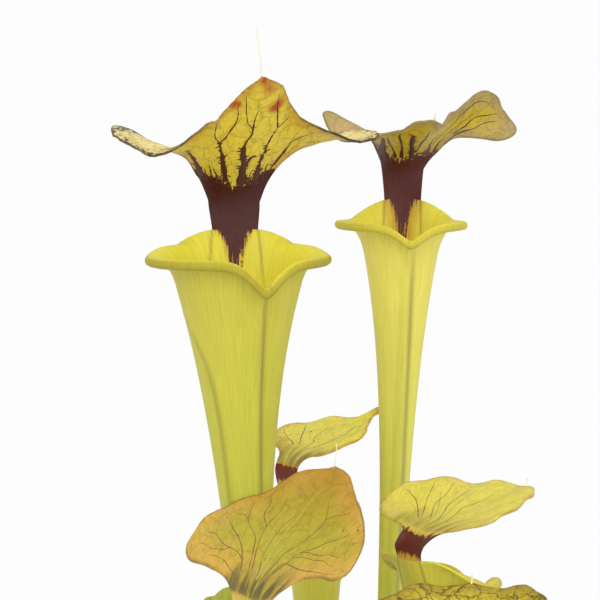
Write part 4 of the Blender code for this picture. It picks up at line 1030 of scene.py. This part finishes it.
def leaf_material(name, leaf, look, settings):
    """Living leaf tissue, grown and waxy: lengthwise streaks, a fine net of veins and a low satin sheen.

    Green deepens towards the foot, the lid's margin warms, and the column's maroon breaks up at its ends.
    Light comes through the thin sheet, so a part of it is translucent.
    """
    material, add = new_material(name)
    numbers = ("inside", "lid", "lip", "stain", "shade", "edge", "crease", "blush")
    mark = SimpleNamespace(**{wanted: add("Attribute", attribute_name=wanted, out="Fac") for wanted in numbers})
    grain, flat = (add("Attribute", attribute_name=wanted, out="Vector") for wanted in ("grain", "flat"))
    across, along = (add("SeparateXYZ", flat, out=axis) for axis in "XY")
    streak = add("TexNoise", grain, Scale=0.35, Detail=3.0)
    fine = add("TexNoise", grain, Scale=1.5, Detail=4.0)
    blotch = add("TexNoise", flat, Scale=0.12, Detail=3.0)
    # Green deepens from just below the mouth down to the soil in lengthwise streaks, and the foot is reddish
    height = add("SeparateXYZ", add("TexCoord", out="Object"), out="Z")
    green = add("MapRange", height, (leaf.mouth[2] + SOIL_LEVEL) * MM - 0.01, 0.13)
    green = add("Math", green, add("Math", streak, 0.6, -0.3, operation="MULTIPLY_ADD"), use_clamp=True)
    sheath = add("MapRange", height, (SOIL_LEVEL + 1.0) * MM, (SOIL_LEVEL + 26.0) * MM, 1.5, 0.0)
    sheath = add("Math", sheath, fine, operation="MULTIPLY")
    # Painted shade: a dark olive just beside the keel and in the folds
    crease_shade = add("Math", mark.crease, 0.55, operation="MULTIPLY")
    # The inner face takes the mouth colour, which is partly painted light making up for the shade inside the
    # mouth
    tube = look.tube
    for share, colour in (
        (green, look.tube_low), (mark.inside, look.mouth), (mark.lip, look.lip),
        (sheath, "#7a2c22"), (crease_shade, "#87752a"),
    ):
        tube = add("Mix", share, in_6=tube, in_7=colour, **MIXED)
    # The lid's two faces, each warmer along a margin of uneven width
    wander = add("Math", blotch, 16.0, -8.0, operation="MULTIPLY_ADD")
    rough_edge = add("Math", mark.edge, wander)
    margin = add("MapRange", rough_edge, 0.0, look.margin_width, 1.0, 0.0)
    under = add("Mix", margin, in_6=look.lid_under, in_7=look.margin_under, **MIXED)
    above = add("Mix", margin, in_6=look.lid_top, in_7=look.margin_top, **MIXED)
    # Its outer face is bronzed towards the apex, and above the hinge the maroon shows through in stripes
    bronzed = add("Math", along, add("Math", blotch, 24.0, -12.0, operation="MULTIPLY_ADD"))
    bronzed = add("MapRange", bronzed, 22.0, 54.0, 0.0, look.apex_amount)
    above = add("Mix", bronzed, in_6=above, in_7=look.apex, **MIXED)
    through = add("MapRange", mark.shade, -14.0, -1.0, 0.0, look.through)
    hinge = add("MapRange", mark.shade, 0.0, 1.2, 1.0, 0.0)
    through = add("Math", through, hinge, operation="MULTIPLY")
    striped = add("MapRange", streak, 0.36, 0.6, 0.15, 0.8)
    through = add("Math", through, striped, operation="MULTIPLY", use_clamp=True)
    above = add("Mix", through, in_6=above, in_7="#6f6434", **MIXED)
    lid = add("Mix", mark.inside, in_6=above, in_7=under, **MIXED)
    # Two nets of fine veins, with meshes of about 4 mm and 1.5 mm that are longer along the leaf
    layers = []
    radial = add("VectorMath", grain, (1.0, 3.0, 3.0), operation="MULTIPLY")
    bent = add("TexNoise", flat, Scale=0.5, Detail=2.0, out=1)
    radial = add("VectorMath", bent, (1.6, 1.6, 1.6), radial, operation="MULTIPLY_ADD")
    for scale, width, share in ((0.25, 0.055, 1.0), (0.65, 0.07, 0.55)):
        net = add("TexVoronoi", radial, Scale=scale, feature="DISTANCE_TO_EDGE")
        net = add("MapRange", net, 0.3 * width, width, look.net_amount * share, 0.0)
        layers.append((add("Math", net, mark.lid, operation="MULTIPLY"), look.net))
    # Dark spots of 1 to 2 mm, crowded along the margin of the lid's outer face
    crowd = add("MapRange", rough_edge, 0.0, 9.0, 0.6 * look.spots, 0.06 * look.spots)
    spotted = add("Math", crowd, add("TexVoronoi", flat, Scale=0.6), operation="SUBTRACT")
    spotted = add("MapRange", spotted, -0.03, 0.08, 0.0, 0.9)
    outside = add("Math", 1.0, mark.inside, operation="SUBTRACT")
    layers.append((add("Math", spotted, outside, operation="MULTIPLY"), "#332f22"))
    # A dark broken line at its edge, stronger on the lobes
    lobed = add("MapRange", add("Math", across, operation="ABSOLUTE"), 14.0, 30.0, 0.35, 1.0)
    rim = add("MapRange", mark.edge, 0.15, 0.9, look.rim_amount, 0.0)
    rim = add("Math", rim, streak, operation="MULTIPLY")
    layers.append((add("Math", rim, lobed, operation="MULTIPLY"), "#4b3d22"))
    # Red blotches with broken edges
    reddened = add("Math", mark.blush, fine, operation="MULTIPLY")
    layers.append((add("MapRange", reddened, 0.12, 0.5, 0.0, 0.9), "#b83a16"))
    for share, colour in layers:
        lid = add("Mix", share, in_6=lid, in_7=colour, **MIXED)
    skin = add("Mix", mark.lid, in_6=tube, in_7=lid, **MIXED)
    lines = add("MapRange", fine, 0.35, 0.65, 0.9, 1.05)
    lines = add("CombineColor", lines, lines, lines)
    skin = add("Mix", 0.8, in_6=skin, in_7=lines, blend_type="MULTIPLY", **MIXED)
    # The maroon's edge is torn by lengthwise noise of about 3 mm, with an orange halo below it
    torn = add("TexNoise", radial, Scale=0.5, Detail=6.0, Roughness=0.7)
    stain = add("Math", mark.stain, add("Math", torn, 11.0, -5.5, operation="MULTIPLY_ADD"))
    halo = add("MapRange", stain, -look.halo, 0.2, 0.0, 0.75)
    halo = add("Math", halo, add("MapRange", mark.lid, 0.6, 0.9, 1.0, 0.2), operation="MULTIPLY")
    skin = add("Mix", halo, in_6=skin, in_7="#c2731a", **MIXED)
    maroon = add("Mix", fine, in_6=(*settings.maroon, 1.0), in_7=look.maroon_pale, **MIXED)
    skin = add("Mix", add("MapRange", stain, -0.15, 0.35), in_6=skin, in_7=maroon, **MIXED)
    # Relief: fine ribs along the leaf and small blisters between them
    blister = add("TexNoise", flat, Scale=0.9, Detail=2.0)
    bump = add("Bump", Strength=0.3, Distance=0.0003, Height=add("Math", fine, blister))
    gloss = add("MapRange", blister, 0.3, 0.7, settings.roughness - 0.1, settings.roughness + 0.08)
    waxy = add("BsdfPrincipled", skin, Roughness=gloss, Normal=bump, Specular_IOR_Level=0.35)
    lit_through = add("BsdfTranslucent", skin, Normal=bump)
    add("OutputMaterial", add("MixShader", settings.translucency, waxy, lit_through))
    return material


def vein_material(name, colour, dark, roughness):
    """Raised leaf veins: the same satin tissue, darker where pigment gathers in flecks of about 1 mm."""
    material, add = new_material(name)
    fleck = add("TexNoise", add("TexCoord", out="Object"), Scale=900.0, Detail=3.0)
    mixed = add("Mix", fleck, in_6=colour, in_7=dark, **MIXED)
    add("OutputMaterial", add("BsdfPrincipled", mixed, Roughness=roughness))
    return material


def peat_material(name, dark, light, grain_mm, threshold):
    """Damp peat: dark matt crumbs with paler fibres, rough at every scale."""
    material, add = new_material(name)
    place = add("TexCoord", out="Object")
    grains = 1.0 / (grain_mm * MM)
    fibre = add("TexNoise", place, Scale=grains, Detail=8.0, Roughness=0.7, Distortion=1.5)
    clump = add("TexNoise", place, Scale=0.2 * grains, Detail=4.0)
    mixed = add("Mix", clump, in_6=dark, in_7="#4a3626", **MIXED)
    pale = add("MapRange", fibre, threshold, threshold + 0.2)
    mixed = add("Mix", pale, in_6=mixed, in_7=light, **MIXED)
    bump = add("Bump", Strength=0.8, Distance=0.0012, Height=fibre)
    damp = add("MapRange", clump, 0.3, 0.7, 0.7, 0.98)
    add("OutputMaterial", add("BsdfPrincipled", mixed, Roughness=damp, Normal=bump))
    return material


def pot_material(name, colour, roughness):
    """Injection-moulded polypropylene: matt, finely pebbled by the mould, with dust and dried splashes low."""
    material, add = new_material(name)
    place = add("TexCoord", out="Object")
    pebble = add("TexNoise", place, Scale=1600.0, Detail=2.0)
    scuff = add("TexNoise", place, Scale=38.0, Detail=6.0, Roughness=0.65)
    low = add("MapRange", add("SeparateXYZ", place, out="Z"), 0.0, 0.05, 0.32, 0.07)
    dust = add("Math", add("MapRange", scuff, 0.45, 0.75), low, operation="MULTIPLY")
    mixed = add("Mix", dust, in_6=colour, in_7="#8d8172", **MIXED)
    sheen = add("MapRange", scuff, 0.3, 0.7, roughness - 0.08, roughness + 0.14)
    bump = add("Bump", Strength=0.25, Distance=0.0002, Height=pebble)
    add("OutputMaterial", add("BsdfPrincipled", mixed, Roughness=sheen, Normal=bump))
    return material


class LeafSettings(bpy.types.PropertyGroup):
    """Sizes and colours that the leaves share."""

    sheet: bpy.props.FloatProperty(
        name="Leaf thickness", description="Thickness of the leaf's sheet", default=0.0009, min=0.0004,
        max=0.002, unit="LENGTH", precision=5)
    relief: bpy.props.FloatProperty(
        name="Vein relief", description="Height of the veins above the leaf", default=0.00009, min=0.0,
        max=0.001, unit="LENGTH", precision=5)
    maroon: bpy.props.FloatVectorProperty(
        name="Column maroon", description="Colour of the column's patch", subtype="COLOR", min=0.0, max=1.0,
        default=linear("#45140d")[:3])
    vein_brown: bpy.props.FloatVectorProperty(
        name="Fine veins", description="Colour of the fine veins on the lids seen from behind", subtype="COLOR",
        min=0.0, max=1.0, default=linear("#6e4219")[:3])
    thread: bpy.props.FloatVectorProperty(
        name="Dry thread", description="Colour of the dry thread at a lid's tip", subtype="COLOR", min=0.0,
        max=1.0, default=linear("#e8e4cc")[:3])
    roughness: bpy.props.FloatProperty(
        name="Leaf roughness", description="Roughness of the waxy surface", default=0.46, min=0.0, max=1.0,
        subtype="FACTOR")
    translucency: bpy.props.FloatProperty(
        name="Translucency", description="Share of light that passes through the leaf", default=0.28, min=0.0,
        max=1.0, subtype="FACTOR")


class PotSettings(bpy.types.PropertyGroup):
    """Colours and amounts for the pot and the soil."""

    pot: bpy.props.FloatVectorProperty(
        name="Pot colour", description="Colour of the pot's plastic", subtype="COLOR", min=0.0, max=1.0,
        default=linear("#26282a")[:3])
    pot_roughness: bpy.props.FloatProperty(
        name="Pot roughness", description="Roughness of the pot's plastic", default=0.52, min=0.1, max=0.86,
        subtype="FACTOR")
    peat: bpy.props.FloatVectorProperty(
        name="Peat colour", description="Colour of the damp peat", subtype="COLOR", min=0.0, max=1.0,
        default=linear("#2a1c13")[:3])
    crumbs: bpy.props.IntProperty(
        name="Peat crumbs", description="Number of loose crumbs on the soil", default=900, min=0, max=4000,
        subtype="UNSIGNED")
    perlite: bpy.props.IntProperty(
        name="Perlite grains", description="Number of pale grains on the soil", default=110, min=0, max=1000,
        subtype="UNSIGNED")


class StudioSettings(bpy.types.PropertyGroup):
    """Camera, lights and floor."""

    distance: bpy.props.FloatProperty(
        name="Camera distance", description="From the camera to the middle of the view", default=1.1,
        unit="LENGTH")
    elevation: bpy.props.FloatProperty(
        name="Camera elevation", description="How far the camera looks down", default=math.radians(8.0),
        subtype="ANGLE", unit="ROTATION")
    view_width: bpy.props.FloatProperty(
        name="View width", description="Width of the view at the plant", default=0.2358, unit="LENGTH")
    look_at: bpy.props.FloatVectorProperty(
        name="Looks at", description="The point in the middle of the view", default=(-0.002, 0.0, 0.408),
        subtype="TRANSLATION", unit="LENGTH")
    surround: bpy.props.FloatProperty(
        name="Surround light", description="Strength of the even white light all round", default=0.8, min=0.0,
        subtype="UNSIGNED")
    wall: bpy.props.FloatProperty(
        name="Wall brightness", description="How bright the white wall behind the plant looks", default=0.98,
        min=0.0, subtype="UNSIGNED")
    key: bpy.props.FloatProperty(
        name="Key light", description="Strength of the broad light from the upper left", default=1.3, min=0.0,
        subtype="UNSIGNED")
    key_spread: bpy.props.FloatProperty(
        name="Key spread", description="How wide the key light looks from the plant, which softens its shadows",
        default=math.radians(50.0), subtype="ANGLE", unit="ROTATION")
    fill: bpy.props.FloatProperty(
        name="Fill light", description="Strength of the low, very broad light beside the camera", default=1.7,
        min=0.0, subtype="UNSIGNED")
    floor: bpy.props.FloatVectorProperty(
        name="Floor colour", description="Colour of the studio floor", subtype="COLOR", min=0.0, max=1.0,
        default=linear("#e3e3e3")[:3])


class PITCHER_OT_leaves(bpy.types.Operator):
    """Grow the seven pitcher leaves: tube, keel, rolled lip, column and lid as one closed sheet each"""

    bl_idname = "pitcher.leaves"
    bl_label = "Grow the pitcher leaves"

    def execute(self, context):
        settings = context.scene.pitcher_leaf
        for name in LEAVES:
            leaf = leaf_values(name)
            look = SimpleNamespace(**{**COMMON_LOOK, **LOOKS[name]})
            material = leaf_material(name + "_waxy_leaf", leaf, look, settings)
            piece = add_piece(name + "_leaf", material, *leaf_shell(leaf, settings.sheet / MM))
            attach(piece, "root")
            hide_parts(name)
        return {"FINISHED"}


class PITCHER_OT_veins(bpy.types.Operator):
    """Lay the raised veins on the lids: thick maroon ones inside, fine brown and pale ones outside"""

    bl_idname = "pitcher.veins"
    bl_label = "Lay the veins"

    def execute(self, context):
        settings = context.scene.pitcher_leaf
        relief = settings.relief / MM
        maroon = vein_material("maroon_vein_tissue", (*settings.maroon, 1.0), "#4c1f1e", 0.5)
        brown = vein_material("brown_vein_tissue", (*settings.vein_brown, 1.0), "#875c26", 0.55)
        pale = vein_material("pale_vein_tissue", "#b0a44c", "#a2953f", 0.5)
        rng = np.random.default_rng(SEED)
        for table, face, material, kind in (
            (MAROON_VEINS, -1.0, maroon, "maroon_veins"),
            (BROWN_VEINS, 1.0, brown, "brown_veins"),
            (PALE_VEINS, 1.0, pale, "pale_veins"),
        ):
            for name, veins in table.items():
                leaf = leaf_values(name)
                if kind == "maroon_veins":
                    veins = veins + twig_paths(veins, rng) + shoot_paths(leaf, rng)
                piece = add_piece(kind + "_" + name, material, *vein_mesh(leaf, veins, face, relief, rng))
                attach(piece, "root")
        return {"FINISHED"}


class PITCHER_OT_threads(bpy.types.Operator):
    """Add the dry thread that ends each lid"""

    bl_idname = "pitcher.threads"
    bl_label = "Add the dry threads"

    def execute(self, context):
        settings = context.scene.pitcher_leaf
        material = vein_material("dried_leaf_tip", (*settings.thread, 1.0), "#cfc7a0", 0.7)
        for name in LEAVES:
            piece = add_piece("tip_thread_" + name, material, *thread_mesh(leaf_values(name)))
            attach(piece, "root")
        return {"FINISHED"}


class PITCHER_OT_soil(bpy.types.Operator):
    """Fill the pot with peat, with loose crumbs and pale mineral grains on top"""

    bl_idname = "pitcher.soil"
    bl_label = "Fill in the soil"

    def execute(self, context):
        settings = context.scene.pitcher_pot
        rng = np.random.default_rng(SEED)
        peat = peat_material("damp_peat", (*settings.peat, 1.0), "#7a5b3c", 1.6, 0.58)
        perlite = peat_material("expanded_perlite", "#bdb7a8", "#efece2", 0.8, 0.35)
        piece = add_piece("peat_soil", peat, *soil_mesh())
        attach(piece, "root")
        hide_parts("soil")
        for name, count, size, material in (
            ("peat_crumbs", settings.crumbs, 1.3, peat),
            ("perlite_grains", settings.perlite, 1.0, perlite),
        ):
            piece = add_piece(name, material, *crumb_mesh(count, size, rng))
            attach(piece, "root")
        return {"FINISHED"}


class PITCHER_OT_pot(bpy.types.Operator):
    """Turn the plain nursery pot with its rim band and rounded edges"""

    bl_idname = "pitcher.pot"
    bl_label = "Turn the pot"

    def execute(self, context):
        settings = context.scene.pitcher_pot
        material = pot_material("moulded_polypropylene", (*settings.pot, 1.0), settings.pot_roughness)
        piece = add_piece("nursery_pot", material, *turned_shape(pot_profile(), POT_SIDES))
        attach(piece, "root")
        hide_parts("pot")
        return {"FINISHED"}


class PITCHER_OT_stage(bpy.types.Operator):
    """Set the pale floor, the soft lights and the camera at the photograph's angle"""

    bl_idname = "pitcher.stage"
    bl_label = "Set the studio"

    def execute(self, context):
        settings = context.scene.pitcher_studio
        scene = context.scene
        scene.view_settings.view_transform = "Standard"
        world = bpy.data.worlds.new("studio_white")
        world.use_nodes = True
        # The white wall behind looks as bright as the floor, so no horizon shows, and lights the plant less
        walls = world.node_tree
        seen = add_node(walls, "LightPath", out="Is Camera Ray")
        glow = add_node(walls, "MapRange", seen, in_3=settings.surround, in_4=settings.wall)
        light = walls.nodes["Background"]
        light.inputs["Color"].default_value = (1.0, 1.0, 1.0, 1.0)
        walls.links.new(glow, light.inputs["Strength"])
        scene.world = world
        material, add = new_material("painted_studio_floor")
        add("OutputMaterial", add("BsdfPrincipled", (*settings.floor, 1.0), Roughness=0.9))
        corners = FLOOR_REACH * np.array([(-1, -1, 0), (1, -1, 0), (1, 1, 0), (-1, 1, 0)])
        floor = add_piece("studio_floor", material, corners, [np.array([[0, 1, 2, 3]])])
        for name, strength, spread, tilt, turn in (
            ("key_light", settings.key, settings.key_spread, 42.0, -34.0),
            ("fill_light", settings.fill, 2.0 * settings.key_spread, 78.0, 34.0),
        ):
            lamp = bpy.data.lights.new(name, "SUN")
            lamp.energy = strength
            lamp.angle = spread
            holder = bpy.data.objects.new(name, lamp)
            scene.collection.objects.link(holder)
            holder.rotation_euler = (math.radians(tilt), 0.0, math.radians(turn))
        lens = bpy.data.cameras.new("photo_camera")
        lens.sensor_width = 36.0
        lens.lens = lens.sensor_width * settings.distance / settings.view_width
        lens.clip_end = 100.0
        camera = bpy.data.objects.new("photo_camera", lens)
        scene.collection.objects.link(camera)
        back = np.array([0.0, -math.cos(settings.elevation), math.sin(settings.elevation)])
        camera.location = np.array(settings.look_at) + back * settings.distance
        camera.rotation_euler = (math.pi / 2 - settings.elevation, 0.0, 0.0)
        scene.camera = camera
        return {"FINISHED"}


class PITCHER_PT_panel(bpy.types.Panel):
    """Lists the settings and the steps in the 3D view's sidebar"""

    bl_idname = "PITCHER_PT_panel"
    bl_label = "Potted pitcher plant"
    bl_space_type = "VIEW_3D"
    bl_region_type = "UI"
    bl_category = "Pitcher"

    def draw(self, context):
        for group in (context.scene.pitcher_leaf, context.scene.pitcher_pot, context.scene.pitcher_studio):
            box = self.layout.box()
            for prop in type(group).__annotations__:
                box.prop(group, prop)
        for step in STEPS:
            self.layout.operator(step.bl_idname)


GROUPS = {"pitcher_leaf": LeafSettings, "pitcher_pot": PotSettings, "pitcher_studio": StudioSettings}
STEPS = (
    PITCHER_OT_leaves, PITCHER_OT_veins, PITCHER_OT_threads, PITCHER_OT_soil, PITCHER_OT_pot, PITCHER_OT_stage,
)


def register():
    for cls in (*GROUPS.values(), *STEPS, PITCHER_PT_panel):
        bpy.utils.register_class(cls)
    for name, cls in GROUPS.items():
        setattr(bpy.types.Scene, name, bpy.props.PointerProperty(type=cls))


def unregister():
    for name in GROUPS:
        delattr(bpy.types.Scene, name)
    for cls in reversed((*GROUPS.values(), *STEPS, PITCHER_PT_panel)):
        bpy.utils.unregister_class(cls)


def main():
    register()
    bpy.ops.pitcher.leaves()
    bpy.ops.pitcher.veins()
    bpy.ops.pitcher.threads()
    bpy.ops.pitcher.soil()
    bpy.ops.pitcher.pot()
    bpy.ops.pitcher.stage()


if __name__ == "__main__":
    main()
